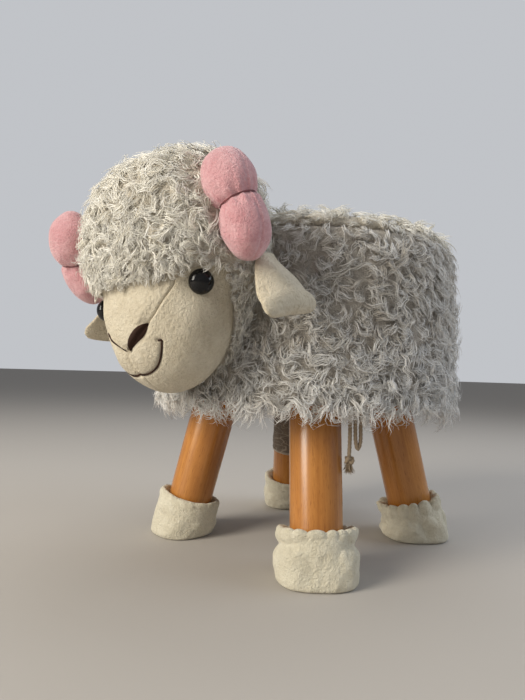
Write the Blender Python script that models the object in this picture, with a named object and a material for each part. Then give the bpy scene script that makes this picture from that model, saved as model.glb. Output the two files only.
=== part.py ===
"""Plush sheep footstool: a padded drum seat on four splayed legs, with a stuffed head sewn to its front."""
import math

import bmesh
import bpy
import numpy as np
from mathutils import Euler, Matrix, Vector

for old in list(bpy.data.objects):
    bpy.data.objects.remove(old, do_unlink=True)

# Clearance between pieces that touch, and how far a cutter runs past what it cuts.
fit_gap = 0.0003
cut_over = 0.006

# Seat drum, turned about the world Z axis.
seat_clearance = 0.174
board_radius = 0.138
board_thickness = 0.012
wall_thickness = 0.009
wall_height = 0.1075
top_board_thickness = 0.012
side_foam_thickness = 0.0105
pad_edge_height = 0.0135
pad_crown = 0.0105
pad_shoulder = 0.017
pile_thickness = 0.0125
skirt_drop = 0.0165
skirt_tuck = 0.0055
seam_gap = 0.0012
seam_groove = 0.0028
seam_radius_share = 0.975
drum_steps = 38

# Turned-under hem and the cord that draws it in.
hem_thickness = 0.0045
hem_clear_of_leg = 0.0065
channel_wall = 0.0013
cord_diameter = 0.0040
channel_play = 0.0010
cord_exit_angle = math.radians(-31.3)
cord_exit_half_angle = math.radians(5.0)
cord_tail_drop = 0.060
cord_loop_drop = 0.053
cord_side_step = 0.0050
knot_radius = 0.0056
knot_length = 0.0125

# Legs, one under each corner of a square, leaning outwards, set in from the board's edge.
leg_edge_inset = 0.01625
leg_splay = math.radians(13.6)
leg_top_diameter = 0.0510
leg_foot_diameter = 0.0485
leg_steps = 20
sole_thickness = 0.0042

# Hanger bolt and tee nut of each leg, upright on the board.
bolt_diameter = 0.0080
bolt_in_leg = 0.032
bolt_above_board = 0.0045
nut_flange_diameter = 0.022
nut_flange_thickness = 0.0016
nut_barrel_diameter = 0.0105
nut_barrel_length = 0.0095
hardware_steps = 12

# Fleece bootie and its cuff elastic.
bootie_radius = 0.0395
bootie_height = 0.0445
bootie_steps = 20
bootie_level_shares = (0.10, 0.58)
elastic_thickness = 0.0017
elastic_width = 0.0042
bootie_outer_shares = ((0.68, 0.0), (0.85, 0.055), (0.96, 0.17), (1.0, 0.36), (0.975, 0.52), (0.89, 0.63))
ruffle_shares = ((0.93, 0.80), (0.94, 0.95), (0.87, 1.0), (0.795, 0.97))
cuff_share = 0.695
cuff_radius_share = 0.815

# Grey sleeve left on the rear-right leg.
sleeve_foot_height = 0.082
sleeve_below_hem = 0.0050
sleeve_wall = 0.0012
sleeve_crinkle = 0.0011
sleeve_steps = 20
sleeve_rings = 7

# Head: a stuffed skull with a blunt muzzle; its own frame sits midway between the eyes.
head_reach = 0.0593
head_rise = 0.0765
head_side_step = 0.0015
head_turn = math.radians(3.0)
head_tilt = math.radians(5.0)
skull_half_width = 0.0837
skull_front_depth = 0.0679
skull_back_depth = 0.0400
skull_half_height = 0.0707
skull_back_from_eyes = 0.0385
skull_above_eyes = 0.0509
skull_square = 2.5
muzzle_half_width = 0.0628
muzzle_half_depth = 0.0503
muzzle_half_height = 0.0692
muzzle_back_from_eyes = 0.0225
muzzle_below_eyes = 0.0162
blend_power = 8.0

# Places on the head are shares of this half height, chin to crown, as (side, back, up).
head_half = 0.100
core_share = (0.0, 0.30, -0.05)
nose_share = (0.0, -0.22, -0.50)
border_shares = (
    (0.0, -0.289, 0.064), (0.31, -0.241, 0.077), (0.57, -0.10, 0.095), (0.68, 0.04, 0.14), (0.76, 0.20, 0.13),
    (0.74, 0.30, 0.03), (0.66, 0.38, -0.15), (0.58, 0.44, -0.32), (0.48, 0.50, -0.48), (0.36, 0.55, -0.64),
    (0.20, 0.58, -0.74), (0.0, 0.58, -0.78))
seam_shares = ((0.31, -0.22, -0.253), (0.375, -0.199, -0.163), (0.468, -0.152, -0.035), (0.546, -0.113, 0.078))
nose_low_shares = ((0.0, -0.51), (0.09, -0.475), (0.19, -0.41), (0.275, -0.315), (0.318, -0.246))
nose_high_shares = ((0.0, -0.475), (0.045, -0.425), (0.105, -0.353), (0.20, -0.282), (0.318, -0.243))
smile_shares = (
    (0.0, -0.712), (0.09, -0.70), (0.167, -0.668), (0.215, -0.635), (0.25, -0.60), (0.275, -0.567),
    (0.30, -0.52), (0.318, -0.475), (0.328, -0.44), (0.355, -0.425))
panel_thickness = 0.0018
stuffing_ease = 0.0012
panel_start = math.radians(2.2)
cap_pile = 0.0090
cap_edge_pile = 0.0030
cap_edge_width_share = 0.16
stitch_height = 0.0010
thread_radius = 0.0008
panel_rings = 8
cap_rings = 10
gusset_columns = 8
cheek_columns = 10

# Domed eyes on stems, held from behind by washers.
eye_radius = 0.0100
eye_dome_height = 0.0085
eye_sink = 0.0006
eye_stem_radius = 0.0024
eye_stem_length = 0.0120
washer_radius = 0.0062
washer_thickness = 0.0014
washer_depth = 0.0038
eye_share = (0.66, 0.0, 0.0)
eye_lift_shares = (0.008, -0.020)

# Horns: two stuffed lobes each, drawn in by a thread; the right one is sewn on lower, further round and leaning.
horn_radius = 0.0212
horn_centre_shares = (
    (0.767, 0.092, 1.022), (0.799, 0.086, 0.988), (0.843, 0.079, 0.921), (0.887, 0.072, 0.838), (0.925, 0.071, 0.750),
    (0.955, 0.081, 0.667), (0.977, 0.097, 0.598), (0.990, 0.113, 0.544), (0.998, 0.130, 0.470), (0.994, 0.154, 0.385),
    (0.974, 0.173, 0.299), (0.934, 0.187, 0.221), (0.898, 0.195, 0.174), (0.872, 0.197, 0.143))
horn_girth_shares = (0.0, 0.50, 0.86, 1.02, 1.05, 0.95, 0.775, 0.84, 0.93, 0.955, 0.89, 0.70, 0.44, 0.0)
horn_cinch_ring = 6
horn_steps = 16
horn_turns = (0.0, math.radians(10.0))
horn_leans = (0.0, math.radians(24.0))
horn_shift_shares = ((0.0, 0.0, 0.0), (0.11, -0.01, -0.095))
cinch_arc = math.radians(105.0)

# Ears: cupped velour paddles hinged along their root seams, the left one hanging closer to the head.
ear_length = 0.059
ear_width = 0.058
ear_thickness = 0.0105
ear_root_bead = 0.0038
ear_root_shares = ((0.86, 0.49, 0.29), (0.86, 0.50, 0.245))
ear_lifts = (math.radians(26.0), math.radians(42.0))
ear_leans = (math.radians(-6.0), math.radians(-8.0))
ear_turns = (math.radians(-13.0), math.radians(12.5))
ear_spread_shares = (
    (0.0, 0.40, 0.40), (0.03, 0.41, 0.60), (0.08, 0.44, 0.70), (0.17, 0.52, 0.66), (0.30, 0.66, 0.72), (0.45, 0.81, 0.84),
    (0.60, 0.92, 0.97), (0.74, 0.99, 1.0), (0.86, 1.0, 0.94), (0.94, 0.90, 0.78), (0.985, 0.66, 0.52), (1.0, 0.0, 0.0))
ear_bend_share = 0.08
ear_cup_share = 0.05
root_groove_share = 0.50
ear_steps = 16


def make_material(name, colour, roughness, metallic=0.0):
    mat = bpy.data.materials.new(name)
    mat.use_nodes = True
    shader = mat.node_tree.nodes["Principled BSDF"]
    shader.inputs["Base Color"].default_value = (*colour, 1.0)
    shader.inputs["Roughness"].default_value = roughness
    shader.inputs["Metallic"].default_value = metallic
    mat.diffuse_color = (*colour, 1.0)
    return mat


wool = make_material("wool_pile", (0.78, 0.74, 0.65), 0.95)
velour = make_material("cream_velour", (0.80, 0.71, 0.50), 0.85)
pink_velour = make_material("pink_velour", (0.74, 0.36, 0.38), 0.85)
fleece = make_material("bootie_fleece", (0.80, 0.75, 0.65), 0.95)
beech = make_material("beech", (0.55, 0.29, 0.11), 0.32)
plywood = make_material("plywood", (0.62, 0.47, 0.30), 0.6)
foam = make_material("seat_foam", (0.78, 0.74, 0.52), 0.9)
filling = make_material("fibre_filling", (0.86, 0.86, 0.84), 0.95)
eye_black = make_material("eye_black", (0.012, 0.011, 0.012), 0.08)
washer_white = make_material("washer_white", (0.75, 0.75, 0.72), 0.45)
stitching = make_material("nose_stitching", (0.045, 0.018, 0.012), 0.6)
dark_thread = make_material("cinch_thread", (0.20, 0.05, 0.06), 0.7)
elastic = make_material("cuff_elastic", (0.70, 0.66, 0.57), 0.8)
zinc = make_material("zinc_steel", (0.60, 0.60, 0.58), 0.35, 1.0)
sleeve_grey = make_material("grey_sleeve", (0.42, 0.42, 0.41), 0.45)
cord_beige = make_material("beige_cord", (0.62, 0.50, 0.34), 0.85)


def add_object(name, verts, faces, mat, smooth=True):
    mesh = bpy.data.meshes.new(name)
    mesh.from_pydata([tuple(float(c) for c in v) for v in verts], [], [tuple(int(i) for i in f) for f in faces])
    mesh.materials.append(mat)
    if smooth:
        mesh.shade_smooth()
    mesh.update()
    obj = bpy.data.objects.new(name, mesh)
    bpy.context.scene.collection.objects.link(obj)
    return obj


def ring_faces(rows, steps, closed_rows=False):
    """Quads between successive rings; closed_rows joins the last ring to the first."""
    faces = []
    for a in range(rows if closed_rows else rows - 1):
        b = (a + 1) % rows
        for i in range(steps):
            j = (i + 1) % steps
            faces.append((a * steps + i, a * steps + j, b * steps + j, b * steps + i))
    return faces


def split_quads(faces):
    """Quads as two triangles each, split from their first corner, so that nested skins share their facets."""
    split = []
    for face in faces:
        if len(face) == 4:
            split += [face[:3], (face[0], face[2], face[3])]
        else:
            split.append(face)
    return split


def closed_loft(rings, tip_a=None, tip_b=None):
    """Vertices and faces of stacked rings closed by a point or a flat cap at each end."""
    rings = np.asarray(rings, float)
    rows, steps = rings.shape[:2]
    verts = list(rings.reshape(-1, 3))
    faces = ring_faces(rows, steps)
    if tip_a is None:
        faces.append(tuple(range(steps))[::-1])
    else:
        verts.append(tip_a)
        top = len(verts) - 1
        faces += [(top, (i + 1) % steps, i) for i in range(steps)]
    base = (rows - 1) * steps
    if tip_b is None:
        faces.append(tuple(base + i for i in range(steps)))
    else:
        verts.append(tip_b)
        top = len(verts) - 1
        faces += [(top, base + i, base + (i + 1) % steps) for i in range(steps)]
    return verts, faces


def out_facing(obj):
    """Turns every face of one closed body outwards."""
    work = bmesh.new()
    work.from_mesh(obj.data)
    bmesh.ops.recalc_face_normals(work, faces=work.faces)
    work.to_mesh(obj.data)
    work.free()
    return obj


def turned(name, profile, steps, mat, smooth=True):
    """A body turned about Z from (radius, height) points; points at radius zero become poles."""
    turn = np.arange(steps) * (2.0 * math.pi / steps)
    body = [p for p in profile if p[0] > 0.0]
    rings = [[(r * math.cos(t), r * math.sin(t), z) for t in turn] for r, z in body]
    if len(body) == len(profile):
        faces = ring_faces(len(body), steps, True)
        verts = [v for ring in rings for v in ring]
        return out_facing(add_object(name, verts, faces, mat, smooth))
    verts, faces = closed_loft(rings, (0.0, 0.0, profile[0][1]), (0.0, 0.0, profile[-1][1]))
    return out_facing(add_object(name, verts, faces, mat, smooth))


def sharp_by_angle(obj, angle):
    with bpy.context.temp_override(object=obj, active_object=obj, selected_objects=[obj],
                                   selected_editable_objects=[obj]):
        bpy.ops.object.shade_smooth_by_angle(angle=angle)


def as_cutter(obj):
    obj.hide_render = True
    obj.display_type = 'WIRE'
    return obj


def cut(obj, cutter):
    mod = obj.modifiers.new("cut_" + cutter.name, 'BOOLEAN')
    mod.operation = 'DIFFERENCE'
    mod.solver = 'EXACT'
    mod.object = cutter


def rod_points(radius, z_low, z_high):
    return [(0.0, z_low), (radius, z_low), (radius, z_high), (0.0, z_high)]


def cord_curve(name, points, radius, mat, resolution=2, cyclic=False):
    data = bpy.data.curves.new(name, 'CURVE')
    data.dimensions = '3D'
    data.bevel_depth = radius
    data.bevel_resolution = resolution
    data.use_fill_caps = not cyclic
    spline = data.splines.new('POLY')
    spline.points.add(len(points) - 1)
    for point, place in zip(spline.points, points):
        point.co = (*(float(c) for c in place), 1.0)
    spline.use_cyclic_u = cyclic
    data.materials.append(mat)
    obj = bpy.data.objects.new(name, data)
    bpy.context.scene.collection.objects.link(obj)
    return obj


def smooth_path(places, count):
    """Evenly spaced points along a Catmull-Rom curve through the places."""
    pts = np.asarray(places, float)
    pad = np.vstack([2 * pts[0] - pts[1], pts, 2 * pts[-1] - pts[-2]])
    fine = []
    for k in range(len(pts) - 1):
        p0, p1, p2, p3 = pad[k:k + 4]
        t = np.linspace(0.0, 1.0, 24, endpoint=False)[:, None]
        fine.append(0.5 * (2 * p1 + (p2 - p0) * t + (2 * p0 - 5 * p1 + 4 * p2 - p3) * t ** 2
                           + (3 * p1 - p0 - 3 * p2 + p3) * t ** 3))
    fine = np.vstack(fine + [pts[-1:]])
    run = np.concatenate([[0.0], np.cumsum(np.linalg.norm(np.diff(fine, axis=0), axis=1))])
    want = np.linspace(0.0, run[-1], count)
    return np.stack([np.interp(want, run, fine[:, k]) for k in range(3)], axis=1)


# Drum radii and heights, inside out.
board_top = seat_clearance + board_thickness
wall_foot = board_top + fit_gap
wall_top = wall_foot + wall_height
top_board_foot = wall_top + fit_gap
top_board_top = top_board_foot + top_board_thickness
side_foam_inner = board_radius + fit_gap
side_foam_outer = side_foam_inner + side_foam_thickness
cover_inner = side_foam_outer + fit_gap
cover_outer = cover_inner + pile_thickness
pad_foot = top_board_top + fit_gap
skirt_foot = seat_clearance - skirt_drop
leg_half_top = leg_top_diameter / 2.0 / math.cos(leg_splay)
leg_ring_radius = board_radius - leg_edge_inset - leg_half_top


def pad_profile(grow):
    """Outer half outline of the crowned pad from its middle to its side, moved outwards by grow."""
    shoulder = pad_shoulder
    flat = side_foam_outer - shoulder
    points = []
    for k in range(6):
        r = flat * k / 5.0
        drop = pad_crown * (r / side_foam_outer) ** 2.2
        slope = 2.2 * pad_crown / side_foam_outer * (r / side_foam_outer) ** 1.2
        tilt = math.atan(slope)
        top = pad_foot + pad_edge_height + pad_crown - drop
        points.append((r + grow * math.sin(tilt), top + grow * math.cos(tilt)))
    last_drop = pad_crown * (flat / side_foam_outer) ** 2.2
    edge_top = pad_foot + pad_edge_height + pad_crown - last_drop
    start = math.atan(2.2 * pad_crown / side_foam_outer * (flat / side_foam_outer) ** 1.2)
    for k in range(1, 6):
        turn = start + (math.pi / 2 - start) * k / 5.0
        reach = shoulder + grow
        points.append((flat + reach * math.sin(turn), edge_top - shoulder + reach * math.cos(turn)))
    points[0] = (0.0, points[0][1])
    return points


pad_side_height = pad_profile(0.0)[-1][1]

base_board = turned("base_board", rod_points(board_radius, seat_clearance, board_top), drum_steps, plywood, False)
drum_wall = turned("drum_wall", [
    (board_radius - wall_thickness, wall_foot), (board_radius, wall_foot),
    (board_radius, wall_top), (board_radius - wall_thickness, wall_top)], drum_steps, plywood, False)
top_board = turned("top_board", rod_points(board_radius, top_board_foot, top_board_top), drum_steps, plywood, False)
side_foam = turned("side_foam", [
    (side_foam_inner, seat_clearance), (side_foam_outer, seat_clearance),
    (side_foam_outer, top_board_top), (side_foam_inner, top_board_top)], drum_steps, foam, False)
seat_pad = turned("seat_pad", pad_profile(0.0) + [(side_foam_outer, pad_foot), (0.0, pad_foot)], drum_steps, foam)

inner_line = pad_profile(fit_gap)
outer_line = pad_profile(fit_gap + pile_thickness)
seam_radius = cover_outer * seam_radius_share


def part_line(line, radius):
    """Splits an outline at a radius and returns both halves with the shared point."""
    for k in range(len(line) - 1):
        (r0, z0), (r1, z1) = line[k], line[k + 1]
        if r0 <= radius < r1:
            t = (radius - r0) / (r1 - r0)
            cross = (radius, z0 + (z1 - z0) * t)
            return line[:k + 1], cross, line[k + 1:]
    return line[:-1], line[-1], []


inner_top, inner_cross, inner_side = part_line(inner_line, seam_radius - pile_thickness)
outer_top, outer_cross, outer_side = part_line(outer_line, seam_radius)
half_seam = seam_gap / 2.0
seam_dir = Vector((outer_cross[0] - inner_cross[0], outer_cross[1] - inner_cross[1])).normalized()
seam_side = Vector((seam_dir.y, -seam_dir.x))


def seam_point(base, along, aside):
    return (base[0] + seam_dir.x * along + seam_side.x * aside, base[1] + seam_dir.y * along + seam_side.y * aside)


top_edge = [seam_point(outer_cross, -seam_groove, -half_seam), seam_point(inner_cross, fit_gap, -half_seam)]
side_edge = [seam_point(inner_cross, fit_gap, half_seam), seam_point(outer_cross, -seam_groove, half_seam)]
outer_top = [p for p in outer_top if p[0] < seam_radius - 2.0 * seam_groove]
outer_side = [p for p in outer_side if p[0] > seam_radius + seam_groove]
cover_top = turned("cover_top", outer_top + [seam_point(outer_cross, -seam_groove * 0.45, -seam_groove)] + top_edge
                   + inner_top[::-1], drum_steps, wool)
skirt_span = outer_side[-1][1] - skirt_foot
bulge = pile_thickness * 0.12
skirt_outer = [(cover_outer + bulge * math.sin(math.pi * t), outer_side[-1][1] - skirt_span * t)
               for t in (0.15, 0.5, 0.85)]
skirt_outer += [(cover_outer - skirt_tuck * 0.35, skirt_foot + skirt_tuck * 0.45),
                (cover_outer - skirt_tuck, skirt_foot)]
cover_side = turned("cover_side", side_edge + [seam_point(outer_cross, -seam_groove * 0.45, seam_groove)]
                    + outer_side + skirt_outer + [(cover_inner + fit_gap, skirt_foot),
                                                  (cover_inner, seat_clearance), (cover_inner, pad_side_height)]
                    + inner_side[:-1][::-1], drum_steps, wool)

# Hem: a strip under the base board with an open-sided rolled channel at its inner edge.
hem_top = seat_clearance - fit_gap
channel_inner_radius = cord_diameter / 2.0 + channel_play
channel_outer_radius = channel_inner_radius + channel_wall
leg_reach_at_hem = leg_ring_radius + leg_half_top
channel_ring_radius = leg_reach_at_hem + hem_clear_of_leg + channel_outer_radius * math.tan(leg_splay)
channel_height = hem_top - channel_outer_radius
hem_outer = cover_inner - fit_gap
strip_foot = hem_top - hem_thickness
hem_profile = [(hem_outer, hem_top)]
for k in range(6):
    turn = math.radians(90.0 + 49.0 * k)
    hem_profile.append((channel_ring_radius + channel_outer_radius * math.cos(turn),
                        channel_height + channel_outer_radius * math.sin(turn)))
for k in range(5, -1, -1):
    turn = math.radians(90.0 + 49.0 * k)
    inner_turn = min(turn, math.radians(330.0))
    hem_profile.append((channel_ring_radius + channel_inner_radius * math.cos(inner_turn),
                        channel_height + channel_inner_radius * math.sin(inner_turn)))
channel_mouth = channel_ring_radius + channel_outer_radius
hem_profile = hem_profile[:-1]
hem_profile += [(channel_ring_radius + channel_inner_radius * math.cos(math.radians(62.0)),
                 channel_height + channel_inner_radius * math.sin(math.radians(62.0))),
                (channel_mouth, strip_foot), (hem_outer, strip_foot)]
cover_hem = turned("cover_hem", hem_profile, drum_steps, wool)
exit_cutter = as_cutter(turned("exit_cutter", [
    (channel_ring_radius - channel_outer_radius - cut_over, hem_top - channel_wall - channel_inner_radius * 0.35),
    (channel_ring_radius + channel_outer_radius * 0.55, hem_top - channel_wall - channel_inner_radius * 0.35),
    (channel_ring_radius + channel_outer_radius * 0.55, hem_top - 2.0 * channel_outer_radius - cut_over),
    (channel_ring_radius - channel_outer_radius - cut_over, hem_top - 2.0 * channel_outer_radius - cut_over)],
    drum_steps, wool))


def keep_sector(obj, centre, half):
    """Keeps the part of a turned ring within half an angle of the centre and caps both ends."""
    mesh = obj.data
    rows = len(mesh.vertices) // drum_steps
    radii = [(math.hypot(*mesh.vertices[a * drum_steps].co[:2]), mesh.vertices[a * drum_steps].co.z)
             for a in range(rows)]
    slices = 9
    verts = []
    for s in range(slices):
        t = centre - half + 2.0 * half * s / (slices - 1)
        verts += [(r * math.cos(t), r * math.sin(t), z) for r, z in radii]
    faces = [(s * rows + i, s * rows + (i + 1) % rows, (s + 1) * rows + (i + 1) % rows, (s + 1) * rows + i)
             for s in range(slices - 1) for i in range(rows)]
    faces += [tuple(range(rows))[::-1], tuple((slices - 1) * rows + i for i in range(rows))]
    mesh.clear_geometry()
    mesh.from_pydata(verts, [], faces)
    mesh.update()
    return out_facing(obj)


keep_sector(exit_cutter, cord_exit_angle, cord_exit_half_angle)
cut(cover_hem, exit_cutter)

# Drawstring: round the channel, out at the exit, one tail to a knot and one slack loop.
cord_radius = cord_diameter / 2.0


def on_channel(angle):
    return (channel_ring_radius * math.cos(angle), channel_ring_radius * math.sin(angle), channel_height)


exit_out = Vector((math.cos(cord_exit_angle), math.sin(cord_exit_angle), 0.0))
exit_side = Vector((-exit_out.y, exit_out.x, 0.0))
exit_base = Vector(on_channel(cord_exit_angle)) + exit_out * (-channel_inner_radius * 0.5)
lead = cord_exit_half_angle * 0.9


def hang(aside, drop, out=0.0):
    place = exit_base + exit_side * aside + exit_out * out
    return (place.x, place.y, channel_height - drop)


first_turn = cord_exit_angle + lead
last_turn = cord_exit_angle + 2.0 * math.pi - lead
ring_stops = 48
ring_points = [on_channel(first_turn + (last_turn - first_turn) * k / (ring_stops - 1)) for k in range(ring_stops)]
loop_run = smooth_path([
    hang(cord_side_step * 0.95, cord_loop_drop * 0.16),
    hang(cord_side_step * 0.90, cord_loop_drop * 0.36, cord_side_step * 0.1),
    hang(cord_side_step * 0.95, cord_loop_drop * 0.62, cord_side_step * 0.25),
    hang(cord_side_step * 1.05, cord_loop_drop * 0.86, cord_side_step * 0.3),
    hang(cord_side_step * 1.50, cord_loop_drop, cord_side_step * 0.3),
    hang(cord_side_step * 2.02, cord_loop_drop * 0.88, cord_side_step * 0.3),
    hang(cord_side_step * 2.05, cord_loop_drop * 0.62, cord_side_step * 0.25),
    hang(cord_side_step * 2.0, cord_loop_drop * 0.34, cord_side_step * 0.15),
    hang(cord_side_step * 1.98, cord_loop_drop * 0.12),
    ring_points[0], ring_points[1]], 19)[:-2]
tail_run = smooth_path([
    ring_points[-2], ring_points[-1],
    hang(-cord_side_step * 1.35, cord_tail_drop * 0.09),
    hang(-cord_side_step * 0.55, cord_tail_drop * 0.24, cord_side_step * 0.2),
    hang(-cord_side_step * 0.20, cord_tail_drop * 0.46, cord_side_step * 0.3),
    hang(-cord_side_step * 0.10, cord_tail_drop * 0.73, cord_side_step * 0.2),
    hang(-cord_side_step * 0.15, cord_tail_drop, cord_side_step * 0.1)], 12)[2:]
cord_path = np.vstack([loop_run, np.array(ring_points), tail_run])
drawstring = cord_curve("drawstring", cord_path, cord_radius, cord_beige)
knot_top = Vector(hang(-cord_side_step * 0.15, cord_tail_drop, cord_side_step * 0.1))
knot_profile = [(0.0, 0.0), (knot_radius * 0.62, -knot_length * 0.03), (knot_radius, -knot_length * 0.25),
                (knot_radius * 0.82, -knot_length * 0.48), (knot_radius * 0.98, -knot_length * 0.70),
                (knot_radius * 0.60, -knot_length * 0.97), (0.0, -knot_length)]
drawstring_knot = turned("drawstring_knot", knot_profile, 16, cord_beige)
drawstring_knot.location = knot_top + Vector((0.0, 0.0, -fit_gap - cord_radius * 0.15))


# Legs, bolts, tee nuts, booties and elastics.
leg_top_z = seat_clearance - fit_gap
leg_foot_z = sole_thickness + fit_gap
foot_ring_radius = leg_ring_radius + seat_clearance * math.tan(leg_splay)
corner_names = ("front_left", "rear_left", "rear_right", "front_right")
corner_angles = (-math.pi / 4, math.pi / 4, 3 * math.pi / 4, -3 * math.pi / 4)


def leg_frame(angle, radius, height):
    """World matrix at a point of the leg's axis: Z up along the leg, X outwards."""
    place = Matrix.Translation((radius * math.cos(angle), radius * math.sin(angle), height))
    return place @ Euler((0.0, -leg_splay, angle)).to_matrix().to_4x4()


def leg_radius_at(down):
    """Leg radius at a distance below the board, along the axis."""
    share = down * math.cos(leg_splay) / seat_clearance
    return (leg_top_diameter + (leg_foot_diameter - leg_top_diameter) * share) / 2.0


for name, angle in zip(corner_names, corner_angles):
    rings = []
    turn = np.arange(leg_steps) * (2.0 * math.pi / leg_steps)
    for level_z in (leg_foot_z, (leg_foot_z + leg_top_z) / 2.0, leg_top_z):
        axial = (level_z - seat_clearance) / math.cos(leg_splay)
        r = leg_radius_at(-axial)
        rings.append([(r * math.cos(t), r * math.sin(t), axial - r * math.cos(t) * math.tan(leg_splay)) for t in turn])
    verts, faces = closed_loft(rings)
    leg = add_object("leg_" + name, verts, faces, beech)
    sharp_by_angle(leg, math.radians(40.0))
    leg.matrix_world = leg_frame(angle, leg_ring_radius, seat_clearance)

    x, y = leg_ring_radius * math.cos(angle), leg_ring_radius * math.sin(angle)
    bolt_foot = seat_clearance - bolt_in_leg
    bolt_head = board_top + bolt_above_board
    bolt = turned("hanger_bolt_" + name, [
        (0.0, bolt_foot), (bolt_diameter * 0.22, bolt_foot), (bolt_diameter / 2.0, bolt_foot + bolt_diameter * 0.6),
        (bolt_diameter / 2.0, bolt_head - bolt_diameter * 0.12), (bolt_diameter * 0.38, bolt_head),
        (0.0, bolt_head)], hardware_steps, zinc)
    sharp_by_angle(bolt, math.radians(30.0))
    bolt.location = (x, y, 0.0)
    bolt_hole = as_cutter(turned("bolt_hole_" + name, rod_points(
        bolt_diameter / 2.0 + fit_gap, bolt_foot - fit_gap, seat_clearance + cut_over), hardware_steps, zinc))
    bolt_hole.location = (x, y, 0.0)
    cut(leg, bolt_hole)
    nut_bore = bolt_diameter / 2.0 + fit_gap
    flange_foot = board_top + fit_gap
    nut = turned("tee_nut_" + name, [
        (nut_bore, flange_foot + nut_flange_thickness), (nut_bore, board_top - nut_barrel_length),
        (nut_barrel_diameter / 2.0, board_top - nut_barrel_length), (nut_barrel_diameter / 2.0, flange_foot),
        (nut_flange_diameter / 2.0, flange_foot), (nut_flange_diameter / 2.0, flange_foot + nut_flange_thickness)],
        hardware_steps, zinc, False)
    nut.location = (x, y, 0.0)
    board_hole = as_cutter(turned("board_hole_" + name, rod_points(
        nut_barrel_diameter / 2.0 + fit_gap, seat_clearance - cut_over, board_top + cut_over), hardware_steps, zinc))
    board_hole.location = (x, y, 0.0)
    cut(base_board, board_hole)

    # Bootie: turned round the leg's axis above, sheared to stand flat on the floor below.
    cuff_height = bootie_height * cuff_share
    groove_radius = bootie_radius * cuff_radius_share
    groove_low = cuff_height - elastic_width / 2.0 - fit_gap
    groove_high = cuff_height + elastic_width / 2.0 + fit_gap
    foot_down = seat_clearance / math.cos(leg_splay)
    inner_radius = leg_radius_at(foot_down - cuff_height) + fit_gap
    outline = [(bootie_radius * r, bootie_height * h) for r, h in bootie_outer_shares]
    outline += [(groove_radius, groove_low), (groove_radius, groove_high)]
    outline += [(bootie_radius * r, bootie_height * h) for r, h in ruffle_shares]
    outline += [(inner_radius + fit_gap, groove_high), (inner_radius, cuff_height - elastic_width)]
    sole_inner = leg_radius_at(foot_down) + fit_gap * 2.0
    rings = []
    turn = np.arange(bootie_steps) * (2.0 * math.pi / bootie_steps)
    low_share, high_share = bootie_level_shares
    for r, h in outline:
        lean = 1.0 - min(max((h / bootie_height - low_share) / (high_share - low_share), 0.0), 1.0)
        lean = lean * lean * (3.0 - 2.0 * lean) if r > inner_radius * 1.01 else 0.0
        up = h / math.cos(leg_splay) if lean > 0.0 else h
        up = h + (h / math.cos(leg_splay) - h) * lean
        rings.append([(r * math.cos(t), r * math.sin(t), up - r * math.cos(t) * math.tan(leg_splay) * lean)
                      for t in turn])
    sole_up = sole_thickness / math.cos(leg_splay)
    rings.append([(sole_inner * math.cos(t), sole_inner * math.sin(t),
                   sole_up - sole_inner * math.cos(t) * math.tan(leg_splay)) for t in turn])
    verts, faces = closed_loft(rings)
    bootie = add_object("bootie_" + name, verts, faces, fleece)
    out_facing(bootie)
    bootie.matrix_world = leg_frame(angle, foot_ring_radius, 0.0)
    band = turned("cuff_elastic_" + name, [
        (groove_radius + fit_gap, cuff_height - elastic_width / 2.0),
        (groove_radius + fit_gap + elastic_thickness, cuff_height - elastic_width / 4.0),
        (groove_radius + fit_gap + elastic_thickness, cuff_height + elastic_width / 4.0),
        (groove_radius + fit_gap, cuff_height + elastic_width / 2.0)], bootie_steps, elastic)
    band.matrix_world = leg_frame(angle, foot_ring_radius, 0.0)

# Crinkled sleeve round the rear-right leg, from above its bootie to just under the hem.
sleeve_angle = corner_angles[2]
sleeve_high = (hem_top - 2.0 * channel_outer_radius - sleeve_below_hem) / math.cos(leg_splay)
sleeve_low = sleeve_foot_height / math.cos(leg_splay)
foot_down = seat_clearance / math.cos(leg_splay)
outer_rings, inner_rings = [], []
turn = np.arange(sleeve_steps) * (2.0 * math.pi / sleeve_steps)
for k in range(sleeve_rings):
    share = k / (sleeve_rings - 1.0)
    up = sleeve_low + (sleeve_high - sleeve_low) * share
    bore = leg_radius_at(foot_down - up) + fit_gap
    crinkle = (np.sin(5 * turn + 7.0 * share) * np.sin(9.0 * share + 2 * turn) + np.sin(19.0 * share + 3 * turn)) / 2.0
    wall = sleeve_wall + sleeve_crinkle * (0.6 + 0.5 * crinkle)
    outer_rings.append([((bore + w) * math.cos(t), (bore + w) * math.sin(t), up) for w, t in zip(wall, turn)])
    inner_rings.append([(bore * math.cos(t), bore * math.sin(t), up) for t in turn])
sleeve_verts = [v for ring in outer_rings + inner_rings[::-1] for v in ring]
leg_sleeve = add_object("leg_sleeve", sleeve_verts, ring_faces(2 * sleeve_rings, sleeve_steps, True), sleeve_grey)
out_facing(leg_sleeve)
leg_sleeve.matrix_world = leg_frame(sleeve_angle, foot_ring_radius, 0.0)


# Head frame between the eyes, turned and tilted a little as sewn on.
head_frame = bpy.data.objects.new("head_frame", None)
bpy.context.scene.collection.objects.link(head_frame)
head_frame.empty_display_size = head_half
head_frame.location = (head_side_step, -(cover_outer + head_reach), seat_clearance + head_rise)
head_frame.rotation_euler = (0.0, -head_tilt, head_turn)

skull_centre = np.array([0.0, skull_back_from_eyes, skull_above_eyes])
muzzle_centre = np.array([0.0, muzzle_back_from_eyes, -muzzle_below_eyes])
muzzle_radii = np.array([muzzle_half_width, muzzle_half_depth, muzzle_half_height])
core = head_half * np.array(core_share)


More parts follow.
